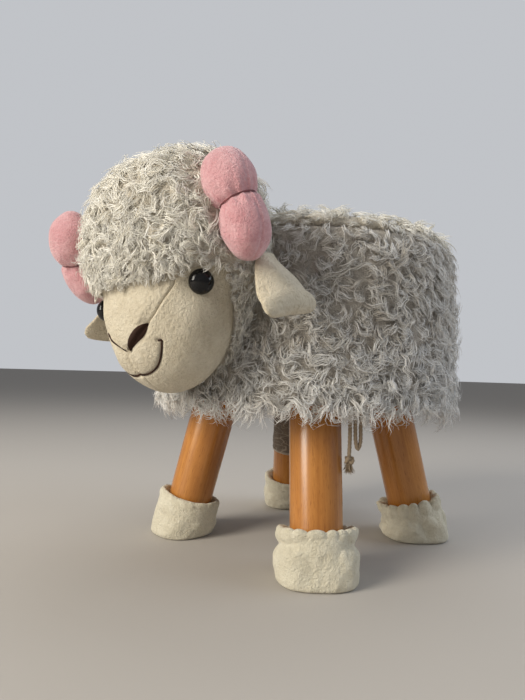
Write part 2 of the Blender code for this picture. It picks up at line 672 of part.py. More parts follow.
def level(points):
    """Distance-like value of points against the head's skin, negative inside."""
    rel = points - skull_centre
    far = np.linalg.norm(rel, axis=-1)
    way = rel / far[..., None]
    depth = np.where(way[..., 1] < 0.0, skull_front_depth, skull_back_depth)
    q = np.abs(way[..., 0] / skull_half_width) ** skull_square
    q = q + np.abs(way[..., 1] / depth) ** skull_square
    q = q + np.abs(way[..., 2] / skull_half_height) ** skull_square
    skull = q ** (-1.0 / skull_square)
    start = (skull_centre - muzzle_centre) / muzzle_radii
    step = way / muzzle_radii
    a = (step * step).sum(-1)
    b = (step * start).sum(-1)
    c = (start * start).sum() - 1.0
    root = b * b - a * c
    muzzle = np.where(root > 0.0, (-b + np.sqrt(np.maximum(root, 0.0))) / a, 0.0)
    muzzle = np.maximum(muzzle, skull_half_height * 0.01)
    return far - (skull ** blend_power + muzzle ** blend_power) ** (1.0 / blend_power)


def skin_normal(points):
    nudge = head_half * 0.004
    grad = np.stack([level(points + nudge * np.eye(3)[k]) - level(points - nudge * np.eye(3)[k])
                     for k in range(3)], axis=-1)
    return grad / np.linalg.norm(grad, axis=-1, keepdims=True)


def skin_from(start, way, offset):
    """First skin point along each way from inside, then moved along its normal by offset."""
    low = np.zeros(way.shape[:-1])
    high = np.full(way.shape[:-1], head_half * 2.5)
    for _ in range(48):
        mid = (low + high) / 2.0
        inside = level(start + way * mid[..., None]) < 0.0
        low = np.where(inside, mid, low)
        high = np.where(inside, high, mid)
    place = start + way * low[..., None]
    return place + skin_normal(place) * np.asarray(offset)[..., None]


def skin_front(side, up, offset):
    """Skin point straight in front of a side and height, moved along its normal by offset."""
    side, up = np.broadcast_arrays(np.asarray(side, float), np.asarray(up, float))
    start = np.stack([side, np.full(side.shape, core[1]), up], axis=-1)
    way = np.broadcast_to(np.array([0.0, -1.0, 0.0]), start.shape)
    return skin_from(start, way, np.broadcast_to(offset, side.shape))


pole = head_half * np.array(nose_share) - core
pole = pole / np.linalg.norm(pole)
pole_side = np.array([1.0, 0.0, 0.0])
pole_up = np.cross(pole_side, pole)
pole_up = pole_up if pole_up[2] > 0.0 else -pole_up


def polar_way(away, round_angle):
    """Direction at an angle away from the nose, round it from upwards towards the head's left."""
    away, round_angle = np.broadcast_arrays(away, round_angle)
    return (np.cos(away)[..., None] * pole + np.sin(away)[..., None]
            * (np.cos(round_angle)[..., None] * pole_up + np.sin(round_angle)[..., None] * pole_side))


def polar_of(shares):
    rel = head_half * np.array(shares) - core
    rel = rel / np.linalg.norm(rel, axis=-1, keepdims=True)
    return np.arccos(rel @ pole), np.arctan2(rel @ pole_side, rel @ pole_up)


def eased(x, xs, ys):
    """Smooth interpolation through table points with slopes from their neighbours."""
    xs, ys = np.asarray(xs, float), np.asarray(ys, float)
    slope = np.gradient(ys, xs)
    x = np.clip(x, xs[0], xs[-1])
    k = np.clip(np.searchsorted(xs, x) - 1, 0, len(xs) - 2)
    h = xs[k + 1] - xs[k]
    t = (x - xs[k]) / h
    return ((2 * t ** 3 - 3 * t ** 2 + 1) * ys[k] + (t ** 3 - 2 * t ** 2 + t) * h * slope[k]
            + (3 * t ** 2 - 2 * t ** 3) * ys[k + 1] + (t ** 3 - t ** 2) * h * slope[k + 1])


border_away, border_round = polar_of(border_shares)
border_order = np.argsort(border_round)
seam_away, seam_round = polar_of(seam_shares)


def border_at(round_angle):
    folded = np.abs((np.asarray(round_angle) + math.pi) % (2.0 * math.pi) - math.pi)
    return eased(folded, border_round[border_order], border_away[border_order])


seam_share_table = seam_away / border_at(seam_round)


def seam_at(share):
    return eased(share, np.concatenate([[0.0], seam_share_table, [1.0]]),
                 np.concatenate([[seam_round[0] * 0.96], seam_round, [seam_round[-1] * 1.02]]))


def two_skins(name, ways, outer_offset, inner_offset, mat, wrap_round=False, close_end=False):
    """A closed panel between two offsets of the skin over a grid of directions."""
    outer = skin_from(core, ways, outer_offset)
    inner = skin_from(core, ways, inner_offset)
    rows, cols = ways.shape[:2]
    verts = list(outer.reshape(-1, 3)) + list(inner.reshape(-1, 3))
    shift = rows * cols
    faces = []
    spans = cols if wrap_round else cols - 1
    for a in range(rows - 1):
        for i in range(spans):
            j = (i + 1) % cols
            quad = (a * cols + i, a * cols + j, (a + 1) * cols + j, (a + 1) * cols + i)
            faces += [quad, (shift + quad[0], shift + quad[3], shift + quad[2], shift + quad[1])]
    rims = [0] if close_end else [0, rows - 1]
    for a in rims:
        for i in range(spans):
            j = (i + 1) % cols
            faces.append((a * cols + i, shift + a * cols + i, shift + a * cols + j, a * cols + j))
    if not wrap_round:
        for i in (0, cols - 1):
            for a in range(rows - 1):
                faces.append((a * cols + i, (a + 1) * cols + i, shift + (a + 1) * cols + i, shift + a * cols + i))
    if close_end:
        tip = polar_way(np.array([[math.pi]]), np.array([[0.0]]))
        verts.append(skin_from(core, tip, np.full((1, 1), outer_offset[-1, 0]))[0, 0])
        verts.append(skin_from(core, tip, np.full((1, 1), inner_offset[-1, 0]))[0, 0])
        base = (rows - 1) * cols
        for i in range(spans):
            j = (i + 1) % cols
            faces.append((2 * shift, base + i, base + j))
            faces.append((2 * shift + 1, shift + base + j, shift + base + i))
    obj = out_facing(add_object(name, verts, split_quads(faces), mat))
    obj.parent = head_frame
    return obj


face_share = np.linspace(0.0, 1.0, panel_rings)[:, None]


def face_panel(name, start_line, end_line, cols):
    """One velour panel between two seam lines that run from the nose to the wool's edge."""
    share = face_share
    across = np.linspace(0.0, 1.0, cols)[None, :]
    low, high = start_line(share), end_line(share)
    spread = low + (high - low) * across
    reach = border_at(spread) - fit_gap / head_half
    away = panel_start + (reach - panel_start) * share
    half_gap = fit_gap / 2.0 / (muzzle_half_width * np.sin(away))
    spread = spread + half_gap * (1.0 - 2.0 * across)
    ways = polar_way(away, spread)
    return two_skins(name, ways, np.zeros(away.shape), np.full(away.shape, -panel_thickness), velour)


full_turn = 2.0 * math.pi
muzzle_gusset = face_panel("muzzle_gusset", lambda s: -seam_at(s), lambda s: seam_at(s), gusset_columns + 1)
cheek_left = face_panel("cheek_left", lambda s: seam_at(s), lambda s: 0.0 * s + math.pi, cheek_columns + 1)
cheek_right = face_panel("cheek_right", lambda s: 0.0 * s + math.pi, lambda s: full_turn - seam_at(s), cheek_columns + 1)

# Wool cap: pile cloth over the rest of the head, thin at its edge.


def all_columns(share):
    """Angles round the nose of every column of the head's grid, from the gusset's right seam leftwards."""
    seam = seam_at(share)
    top = -seam + 2.0 * seam * np.arange(gusset_columns) / gusset_columns
    left = seam + (math.pi - seam) * np.arange(cheek_columns) / cheek_columns
    right = math.pi + (math.pi - seam) * np.arange(cheek_columns) / cheek_columns
    return np.concatenate([top, left, right], axis=1)


cap_round = all_columns(np.ones((1, 1)))
cap_share = (np.linspace(0.0, 1.0, cap_rings, endpoint=False) ** 1.15)[:, None]
cap_start = border_at(cap_round) + fit_gap / head_half
cap_away = cap_start + (math.pi - cap_start) * cap_share
cap_ease = np.clip(cap_share / cap_edge_width_share, 0.0, 1.0)
cap_height = cap_edge_pile + (cap_pile - cap_edge_pile) * np.sin(cap_ease * math.pi / 2.0) + 0.0 * cap_away
head_cap = two_skins("head_cap", polar_way(cap_away, cap_round + 0.0 * cap_away), cap_height,
                     np.full(cap_away.shape, -panel_thickness), wool, True, True)


face_round = all_columns(face_share)
face_away = panel_start + (border_at(face_round) - panel_start) * face_share
whole_ways = np.concatenate([polar_way(face_away, face_round),
                             polar_way(cap_away[1:], cap_round + 0.0 * cap_away[1:])], axis=0)


def whole_skin(name, offset, mat):
    """A closed body at one offset of the whole skin, on the same grid as the panels and the cap."""
    ways = whole_ways
    body = skin_from(core, ways, np.full(ways.shape[:2], offset))
    tips = skin_from(core, np.stack([pole, -pole]), np.full(2, offset))
    verts, faces = closed_loft(body, tips[0], tips[1])
    obj = out_facing(add_object(name, verts, split_quads(faces), mat))
    obj.parent = head_frame
    return obj


stuffing = whole_skin("head_stuffing", -(panel_thickness + stuffing_ease), filling)
cap_envelope = as_cutter(whole_skin("cap_envelope", cap_pile + fit_gap * 2.0, wool))
drum_envelope_line = [(r, z) for r, z in pad_profile(fit_gap * 2.0 + pile_thickness)]
drum_envelope = as_cutter(turned("drum_envelope", drum_envelope_line + [
    (cover_outer + bulge + fit_gap, pad_side_height - skirt_span * 0.15),
    (cover_outer + bulge + fit_gap, skirt_foot - cut_over), (0.0, skirt_foot - cut_over)], drum_steps, wool))
for piece in (stuffing, head_cap, muzzle_gusset, cheek_left, cheek_right):
    cut(piece, drum_envelope)


def frame_at(place, normal, along):
    """Head-frame matrix with Z on the normal and X as near as can be to along."""
    z = Vector(normal).normalized()
    x = Vector(along)
    x = (x - z * x.dot(z)).normalized()
    y = z.cross(x)
    rot = Matrix((x, y, z)).transposed().to_4x4()
    return Matrix.Translation(Vector(place)) @ rot


def local_body(obj, matrix):
    obj.parent = head_frame
    obj.matrix_local = matrix
    return obj


for side, lift, cheek in ((1.0, eye_lift_shares[0], cheek_left), (-1.0, eye_lift_shares[1], cheek_right)):
    label = "left" if side > 0.0 else "right"
    aim = head_half * np.array([side * eye_share[0], eye_share[1], eye_share[2] + lift]) - core
    aim = (aim / np.linalg.norm(aim))[None, :]
    spot = skin_from(core, aim, np.zeros(1))[0]
    facing = skin_normal(spot[None, :])[0]
    seat = frame_at(spot, facing, (0.0, 0.0, 1.0))
    dome = []
    for k in range(7):
        turn = (math.pi / 2.0) * k / 6.0
        dome.append((eye_radius * math.cos(turn) if k < 6 else 0.0, -eye_sink + eye_dome_height * math.sin(turn)))
    stem_line = [(0.0, -eye_stem_length), (eye_stem_radius * 0.8, -eye_stem_length),
                 (eye_stem_radius, -eye_stem_length + eye_stem_radius * 0.5), (eye_stem_radius, -eye_sink)]
    eye = turned("eye_" + label, stem_line + dome, 18, eye_black)
    sharp_by_angle(eye, math.radians(50.0))
    local_body(eye, seat)
    pocket = as_cutter(turned("eye_pocket_" + label, rod_points(
        eye_radius + fit_gap, -eye_sink - fit_gap, cut_over), 20, velour))
    stem_hole = as_cutter(turned("stem_hole_" + label, rod_points(
        eye_stem_radius + fit_gap, -eye_stem_length - fit_gap, cut_over), 16, velour))
    washer = turned("eye_washer_" + label, [
        (eye_stem_radius + fit_gap, -washer_depth), (eye_stem_radius + fit_gap, -washer_depth - washer_thickness),
        (washer_radius, -washer_depth - washer_thickness), (washer_radius, -washer_depth)], 16, washer_white, False)
    washer_pocket = as_cutter(turned("washer_pocket_" + label, rod_points(
        washer_radius + fit_gap, -washer_depth - washer_thickness - fit_gap, cut_over), 16, velour))
    for body in (pocket, stem_hole, washer, washer_pocket):
        local_body(body, seat)
    cut(cheek, pocket)
    cut(cheek, stem_hole)
    cut(stuffing, stem_hole)
    cut(stuffing, washer_pocket)

# Nose: two satin-stitched leaves in a V that meet at the muzzle's tip.
low_table = head_half * np.array(nose_low_shares)
high_table = head_half * np.array(nose_high_shares)
nose_half_rows = 9
leaf = np.linspace(0.0, 1.0, nose_half_rows)
stops = np.linspace(0.0, 1.0, len(low_table))
leaf_low = np.stack([eased(leaf, stops, low_table[:, 0]), eased(leaf, stops, low_table[:, 1])], axis=-1)
leaf_high = np.stack([eased(leaf, stops, high_table[:, 0]), eased(leaf, stops, high_table[:, 1])], axis=-1)
low_all = np.vstack([leaf_low[:0:-1] * (-1.0, 1.0), leaf_low])
high_all = np.vstack([leaf_high[:0:-1] * (-1.0, 1.0), leaf_high])
across = np.linspace(0.0, 1.0, 5)[None, :]
nose_side = low_all[:, :1] + (high_all[:, :1] - low_all[:, :1]) * across
nose_up = low_all[:, 1:] + (high_all[:, 1:] - low_all[:, 1:]) * across
swell = fit_gap + stitch_height * (0.35 + 0.65 * np.sin(math.pi * across)) + 0.0 * nose_side
nose_outer = skin_front(nose_side, nose_up, swell)
nose_inner = skin_front(nose_side, nose_up, np.full(swell.shape, fit_gap))
rows, cols = nose_side.shape
nose_verts = list(nose_outer.reshape(-1, 3)) + list(nose_inner.reshape(-1, 3))
shift = rows * cols
nose_faces = []
for a in range(rows - 1):
    for i in range(cols - 1):
        quad = (a * cols + i, a * cols + i + 1, (a + 1) * cols + i + 1, (a + 1) * cols + i)
        nose_faces += [quad, (shift + quad[0], shift + quad[3], shift + quad[2], shift + quad[1])]
    for i in (0, cols - 1):
        nose_faces.append((a * cols + i, (a + 1) * cols + i, shift + (a + 1) * cols + i, shift + a * cols + i))
for a in (0, rows - 1):
    for i in range(cols - 1):
        nose_faces.append((a * cols + i, shift + a * cols + i, shift + a * cols + i + 1, a * cols + i + 1))
nose = out_facing(add_object("nose_stitching", nose_verts, nose_faces, stitching))
nose.parent = head_frame

# Smile: one laid thread, curled at both corners of the mouth.
smile_table = head_half * np.array(smile_shares)
smile_all = np.vstack([smile_table[:0:-1] * (-1.0, 1.0), smile_table])
smile_places = skin_front(smile_all[:, 0], smile_all[:, 1], fit_gap * 1.5 + thread_radius)
smile_curve = smooth_path(smile_places, 43)
smile_lift = skin_normal(smile_curve)
smile_curve = smile_curve + smile_lift * (fit_gap * 1.5 + thread_radius - level(smile_curve))[:, None]
smile = cord_curve("smile_stitching", smile_curve, thread_radius, stitching, 1)
smile.parent = head_frame

# Horns and their threads.
for side, yaw, lean, shift_share in zip((1.0, -1.0), horn_turns, horn_leans, horn_shift_shares):
    label = "left" if side > 0.0 else "right"
    places = head_half * np.array(horn_centre_shares) - (0.0, skull_centre[1], 0.0)
    places = places @ np.array(Matrix.Rotation(yaw, 3, 'Z')) + (0.0, skull_centre[1], 0.0)
    waist = places[horn_cinch_ring]
    places = (places - waist) @ np.array(Matrix.Rotation(-lean, 3, 'X')) + waist
    places = (places + head_half * np.array(shift_share)) * (side, 1.0, 1.0)
    girth = horn_radius * np.array(horn_girth_shares)
    tangent = np.gradient(places, axis=0)
    tangent = tangent / np.linalg.norm(tangent, axis=1, keepdims=True)
    outward = np.array([side, 0.0, 0.0]) - tangent * (tangent[:, :1] * side)
    outward = outward / np.linalg.norm(outward, axis=1, keepdims=True)
    forward = np.cross(tangent, outward)
    turn = np.arange(horn_steps) * (full_turn / horn_steps)
    rings = (places[1:-1, None] + girth[1:-1, None, None] * (np.cos(turn)[None, :, None] * outward[1:-1, None]
             + np.sin(turn)[None, :, None] * forward[1:-1, None]))
    verts, faces = closed_loft(rings, places[0], places[-1])
    horn = out_facing(add_object("horn_" + label, verts, faces, pink_velour))
    horn.parent = head_frame
    cut(horn, cap_envelope)
    k = horn_cinch_ring
    arc = np.linspace(-cinch_arc, cinch_arc, 15)
    reach = girth[k] + fit_gap + thread_radius
    thread_path = places[k] + reach * (np.cos(arc)[:, None] * outward[k] + np.sin(arc)[:, None] * forward[k])
    thread = cord_curve("horn_cinch_" + label, thread_path, thread_radius, dark_thread, 1)
    thread.parent = head_frame

# Ears: origin on the hinge axis, which runs along the root seam (local X); the paddle hangs down local -Z.
for side, root_share, lift, lean, yaw in zip((1.0, -1.0), ear_root_shares, ear_lifts, ear_leans, ear_turns):
    label = "left" if side > 0.0 else "right"
    mirror = np.array([side, 1.0, 1.0])
    aim = head_half * np.array(root_share) * mirror - core
    aim = (aim / np.linalg.norm(aim))[None, :]
    root = skin_from(core, aim, np.full(1, cap_pile + ear_root_bead * 0.25))[0]
    down = np.array([math.sin(lift) * math.cos(lean), math.sin(lift) * math.sin(lean), -math.cos(lift)])
    axis = np.array([0.0, 1.0, 0.0]) - down * down[1]
    axis = axis / np.linalg.norm(axis)
    axis = (axis * math.cos(yaw) + np.cross(axis, down) * math.sin(yaw)) * mirror
    up = Vector(tuple(-down * mirror))
    basis = frame_at(tuple(root), up, tuple(axis))
    turn = np.arange(ear_steps) * (full_turn / ear_steps)
    rings = []
    for t, wide, thick in ear_spread_shares[:-1]:
        half_w = ear_width / 2.0 * wide
        half_t = ear_thickness / 2.0 * thick
        bend = -ear_length * ear_bend_share * math.sin(math.pi * t) * side
        cup = -ear_length * ear_cup_share * math.sin(math.pi * t ** 0.8) * side
        rings.append([(half_w * math.cos(a), half_t * math.sin(a) + bend + cup * math.sin(a) ** 2,
                       -ear_length * t + ear_root_bead * (1.0 - t)) for a in turn])
    verts, faces = closed_loft(rings, None, (0.0, 0.0, -ear_length))
    ear = out_facing(add_object("ear_" + label, verts, faces, velour))
    local_body(ear, basis)
    root_groove = as_cutter(turned("root_groove_" + label, rod_points(
        ear_root_bead + fit_gap * 4.0, -ear_width * root_groove_share / 2.0, ear_width * root_groove_share / 2.0),
        16, wool))
    local_body(root_groove, basis @ Matrix.Rotation(math.pi / 2.0, 4, 'Y'))
    cut(head_cap, root_groove)
    cut(stuffing, root_groove)

# The whole part is set with its box centred on the world axis, standing on the floor.
bpy.context.view_layer.update()
depsgraph = bpy.context.evaluated_depsgraph_get()
corners = []
for obj in bpy.context.scene.objects:
    if obj.type == 'EMPTY' or obj.hide_render:
        continue
    shown = obj.evaluated_get(depsgraph)
    mesh = shown.to_mesh()
    corners += [shown.matrix_world @ v.co for v in mesh.vertices]
    shown.to_mesh_clear()
corners = np.array([tuple(c) for c in corners])
middle = (corners.min(axis=0) + corners.max(axis=0)) / 2.0
for obj in bpy.context.scene.objects:
    if obj.parent is None:
        obj.location.x -= middle[0]
        obj.location.y -= middle[1]
print("part size", np.round(corners.max(axis=0) - corners.min(axis=0), 4), "axis at", np.round(-middle[:2], 5))
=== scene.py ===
import math

import bpy
import numpy as np
from mathutils import Euler, Matrix, Vector


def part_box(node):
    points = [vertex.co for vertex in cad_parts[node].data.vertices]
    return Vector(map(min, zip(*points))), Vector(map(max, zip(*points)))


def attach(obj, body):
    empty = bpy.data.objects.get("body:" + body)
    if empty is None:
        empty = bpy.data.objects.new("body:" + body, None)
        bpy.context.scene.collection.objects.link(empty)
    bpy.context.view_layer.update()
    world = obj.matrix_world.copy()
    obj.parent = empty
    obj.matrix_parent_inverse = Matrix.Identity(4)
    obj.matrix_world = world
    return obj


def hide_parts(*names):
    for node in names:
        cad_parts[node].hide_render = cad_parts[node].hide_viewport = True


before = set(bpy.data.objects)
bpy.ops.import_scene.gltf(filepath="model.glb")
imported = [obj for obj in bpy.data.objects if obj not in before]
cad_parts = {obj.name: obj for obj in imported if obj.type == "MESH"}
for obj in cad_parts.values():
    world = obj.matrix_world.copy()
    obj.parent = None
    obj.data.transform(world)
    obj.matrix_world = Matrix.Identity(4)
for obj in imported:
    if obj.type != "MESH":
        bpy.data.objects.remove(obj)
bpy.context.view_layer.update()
boardLow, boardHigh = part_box("base_board")
axisY = (boardLow.y + boardHigh.y) / 2.0  # the drum's axis
fullTurn = 2.0 * math.pi
rad = math.radians
print("frame loaded")

# Camera and room; each lamp has its place, size, watts and tone
room = {
    "cameraFromAxis": (0.3837, -0.4877, 0.1847), "yaw": 42.755, "pitch": 2.56, "roll": 1.66, "lens": 26.98,
    "lamps": {"windowLight": ((-0.42, -1.80, 1.02), (0.85, 1.4), 47.0, (1.0, 0.94, 0.83)),
              "roomLight": ((1.25, 1.15, 1.15), (1.2, 1.2), 14.0, (0.82, 0.90, 1.0)),
              "topLight": ((-0.25, 0.55, 1.9), (1.4, 1.4), 12.0, (0.97, 0.98, 1.0))}, "lampAim": (0.0, 0.0, 0.2),
    "floorTone": (0.44, 0.41, 0.375), "skyTone": (0.86, 0.885, 0.93), "skyStrength": 0.30, "backdrop": 0.62,
    "floorReach": 40.0,
}


def addObject(name, data):
    holder = bpy.data.objects.new(name, data)
    bpy.context.scene.collection.objects.link(holder)
    return holder


# Turn that points an object's own Z along a direction
def facing(way):
    return Vector(way).to_track_quat("Z", "Y").to_matrix().to_4x4()


def addLamps():
    for name, (place, size, watts, tone) in room["lamps"].items():
        lamp = bpy.data.lights.new(name, "AREA")
        lamp.shape, lamp.size, lamp.size_y, lamp.energy, lamp.color = "RECTANGLE", *size, watts, tone
        away = Vector(place) - Vector(room["lampAim"])
        addObject(name, lamp).matrix_world = Matrix.Translation(place) @ facing(away)


def addCamera():
    yaw, pitch, roll = (rad(room[k]) for k in ("yaw", "pitch", "roll"))
    right = Vector((math.cos(yaw), math.sin(yaw), 0.0))
    ahead = Vector((-math.sin(yaw) * math.cos(pitch), math.cos(yaw) * math.cos(pitch), math.sin(pitch)))
    up = right.cross(ahead)
    across = right * math.cos(roll) + up * math.sin(roll)
    above = up * math.cos(roll) - right * math.sin(roll)
    data = bpy.data.cameras.new("photoCamera")
    data.lens, data.sensor_width, data.clip_start = room["lens"], 36.0, 0.01
    camera = addObject("photoCamera", data)
    place = Vector(room["cameraFromAxis"]) + Vector((0.0, axisY, 0.0))
    camera.matrix_world = Matrix.Translation(place) @ Matrix((across, above, -ahead)).transposed().to_4x4()
    bpy.context.scene.camera = camera


addCamera()
addLamps()
bpy.context.scene.view_settings.view_transform = "Standard"


# Node helpers take sockets or plain values, and put each node in the tree of the sockets they are given
def feed(socket, source):
    if isinstance(source, bpy.types.NodeSocket):
        socket.id_data.links.new(source, socket)
    elif source is not None:
        socket.default_value = (*source, 1.0) if hasattr(source, "__len__") else source


def addMath(kind, first, second=0.0, clamp=False):
    tree = (first if isinstance(first, bpy.types.NodeSocket) else second).id_data
    node = tree.nodes.new("ShaderNodeMath")
    node.operation, node.use_clamp = kind, clamp
    feed(node.inputs[0], first)
    feed(node.inputs[1], second)
    return node.outputs[0]


def plus(first, second, clamp=False):
    return addMath("ADD", first, second, clamp)


def times(first, second, clamp=False):
    return addMath("MULTIPLY", first, second, clamp)


def addMix(first, second, factor, blend="MIX"):
    node = first.id_data.nodes.new("ShaderNodeMix")
    node.data_type, node.blend_type = "RGBA", blend
    for into, source in ((0, factor), (6, first), (7, second)):
        feed(node.inputs[into], source)
    return node.outputs[2]


def addRamp(source, *stops):
    node = source.id_data.nodes.new("ShaderNodeValToRGB")
    for element, (place, tone) in zip(node.color_ramp.elements, stops):
        element.position = place
        element.color = (*tone, 1.0) if hasattr(tone, "__len__") else (tone, tone, tone, 1.0)
    feed(node.inputs["Fac"], source)
    return node.outputs[0]


# Noise read at a place, `scale` features to the metre
def addNoise(place, scale, detail=3.0, rough=0.5, squeeze=None, warp=0.0):
    nodes = place.id_data.nodes
    if squeeze:
        mapping = nodes.new("ShaderNodeMapping")
        mapping.inputs["Scale"].default_value = squeeze
        feed(mapping.inputs["Vector"], place)
        place = mapping.outputs[0]
    node = nodes.new("ShaderNodeTexNoise")
    for label, source in (("Vector", place), ("Scale", scale), ("Detail", detail), ("Roughness", rough),
                          ("Distortion", warp)):
        feed(node.inputs[label], source)
    return node.outputs["Fac"]


# Each effect turns its group's inputs into a colour, a height and for some a roughness
def napEffect(place, lit, deep, grain, patch, crushSheen):
    # the mix paints light on the pile's tips and shade in its depths, and the crushed-pile patches are drawn lighter:
    # painted sheen
    fine = addNoise(place, grain, 4.0, 0.7)
    crushSheenPatches = addRamp(addNoise(place, patch, 3.0, 0.6, warp=0.6), (0.40, 0.0), (0.66, 1.0))
    speck = addRamp(fine, (0.30, 0.0), (0.72, 1.0))
    mask = plus(times(speck, 0.50), times(crushSheenPatches, crushSheen), True)
    height = plus(plus(fine, times(speck, 0.35)), times(addNoise(place, 170.0, 2.0, 0.55), 0.06))
    return addMix(deep, lit, mask), height, plus(times(mask, -0.12), 0.95)


def woodEffect(place, light, dark):
    broad = addNoise(place, 26.0, 3.0, 0.5, (1.0, 1.0, 0.10))
    lines = addNoise(place, 330.0, 5.0, 0.62, (1.0, 1.0, 0.030))
    patch = addNoise(place, 55.0, 3.0, 0.6, (1.0, 1.0, 0.45))
    grain = addRamp(plus(times(broad, 0.55), times(lines, 0.45)), (0.30, 0.0), (0.70, 1.0))
    blotch = addRamp(patch, (0.35, (0.80, 0.74, 0.68)), (0.70, (1.0, 1.0, 1.0)))
    pores = addRamp(addNoise(place, 1500.0, 2.0, 0.5, (1.0, 1.0, 0.075)), (0.30, (0.45, 0.33, 0.25)),
                    (0.40, (1.0, 1.0, 1.0)))
    toned = addMix(addMix(dark, light, grain), blotch, 0.7, "MULTIPLY")
    return addMix(toned, pores, 0.6, "MULTIPLY"), plus(times(lines, 0.5), patch), plus(times(patch, 0.22), 0.24)


def plyEffect(along, around, turnCount, plies, lit, deep, place):
    wave = addMath("SINE", times(plus(times(along, turnCount), times(around, plies)), fullTurn))
    hair = addNoise(place, 2600.0, 3.0, 0.7)
    # the ply wave paints light on each ply's crest and shade in the grooves between plies
    mask = plus(times(plus(times(wave, 0.5), 0.5), 0.7), times(hair, 0.35), True)
    return addMix(deep, lit, mask), mask


def speckEffect(place, lit, deep, cells, blotch, pits):
    node = place.id_data.nodes.new("ShaderNodeTexVoronoi")
    feed(node.inputs["Vector"], place)
    feed(node.inputs["Scale"], cells)
    # the colour darkens towards each pit's middle: painted shade in the pits
    dents = times(node.outputs["Distance"], pits)
    patch = addNoise(place, blotch)
    return addMix(deep, lit, plus(times(patch, 0.8), dents, True)), dents, plus(times(patch, 0.3), 0.3)


def crinkleEffect(place, along, lit, deep, crease):
    cloud = addNoise(place, 90.0, 2.0, 0.5, (1.0, 1.0, 0.6))
    lines = 0.0
    for scale, squeeze, width in ((55.0, (0.5, 0.5, 2.2), 0.022), (80.0, (1.0, 0.7, 1.2), 0.014)):
        level = addMath("ABSOLUTE", addMath("SUBTRACT", addNoise(place, scale, 1.0, 0.5, squeeze), 0.5))
        lines = plus(addMath("SUBTRACT", 1.0, addMath("DIVIDE", level, width), True), lines, True)
    foot = addMath("SUBTRACT", 1.0, addMath("DIVIDE", along, 0.045), True)
    # the creases and the rolled foot take the pale crease colour: a painted highlight along them
    lines = plus(times(lines, 0.6), foot, True)
    return addMix(addMix(deep, lit, cloud), crease, lines), lines, plus(times(cloud, 0.3), 0.35)


def curlEffect(along, tone, root, body, tip):
    # the root colour is painted shade deep in the fleece, the tip colour on bright-toned strands a painted highlight,
    # and the darker hair stripes painted shade between fibres
    toBody = times(times(along, 2.2, True), times(tone, 1.5), True)
    highlightShare = times(addMath("POWER", tone, 1.5), plus(times(along, 0.9), 0.3), True)
    spot = tone.id_data.nodes.new("ShaderNodeCombineXYZ")
    feed(spot.inputs["X"], times(tone, 260.0))
    feed(spot.inputs["Y"], times(along, 3.0))
    hairs = addRamp(addNoise(spot.outputs[0], 1.0, 2.0, 0.6), (0.30, 0.86), (0.62, 1.0))
    return addMix(addMix(addMix(root, body, toBody), tip, highlightShare), hairs, 1.0, "MULTIPLY"), hairs


# A shader node group: an input is a vector, a colour or a number by the value it starts with
def buildGroup(name, effect, outputs, **inputs):
    tree = bpy.data.node_groups.new(name, "ShaderNodeTree")
    for label, value in inputs.items():
        kind = "Vector" if value is None else "Color" if hasattr(value, "__len__") else "Float"
        socket = tree.interface.new_socket(label, in_out="INPUT", socket_type="NodeSocket" + kind)
        feed(socket, value)
    for label, kind in (("Color", "Color"), ("Height", "Float"), ("Rough", "Float"))[:outputs]:
        tree.interface.new_socket(label, in_out="OUTPUT", socket_type="NodeSocket" + kind)
    given, made = tree.nodes.new("NodeGroupInput"), tree.nodes.new("NodeGroupOutput")
    for into, source in zip(made.inputs, effect(*given.outputs[:len(inputs)])):
        feed(into, source)
    return tree


pale, dim = (0.8, 0.7, 0.5), (0.3, 0.2, 0.1)  # every finish gives its own colours
groups = {
    "nap": buildGroup("clothNap", napEffect, 3, Place=None, Lit=pale, Deep=dim, Grain=900.0, Patch=60.0, Crush=0.4),
    "wood": buildGroup("beechGrain", woodEffect, 3, Place=None, Light=pale, Dark=dim),
    "ply": buildGroup("twistedPlies", plyEffect, 2, Along=0.0, Round=0.0, Turns=1.0, Plies=3.0, Lit=pale, Deep=dim,
                      Place=None),
    "speck": buildGroup("speckledStuff", speckEffect, 3, Place=None, Lit=pale, Deep=dim, Cells=400.0, Blotch=40.0,
                        Pits=0.5),
    "curl": buildGroup("woolFibre", curlEffect, 2, Along=0.0, Tone=0.5, Root=dim, Body=pale, Tip=pale),
    "crinkle": buildGroup("crinkledFilm", crinkleEffect, 3, Place=None, Along=0.0, Lit=pale, Deep=dim, Crease=pale),
}
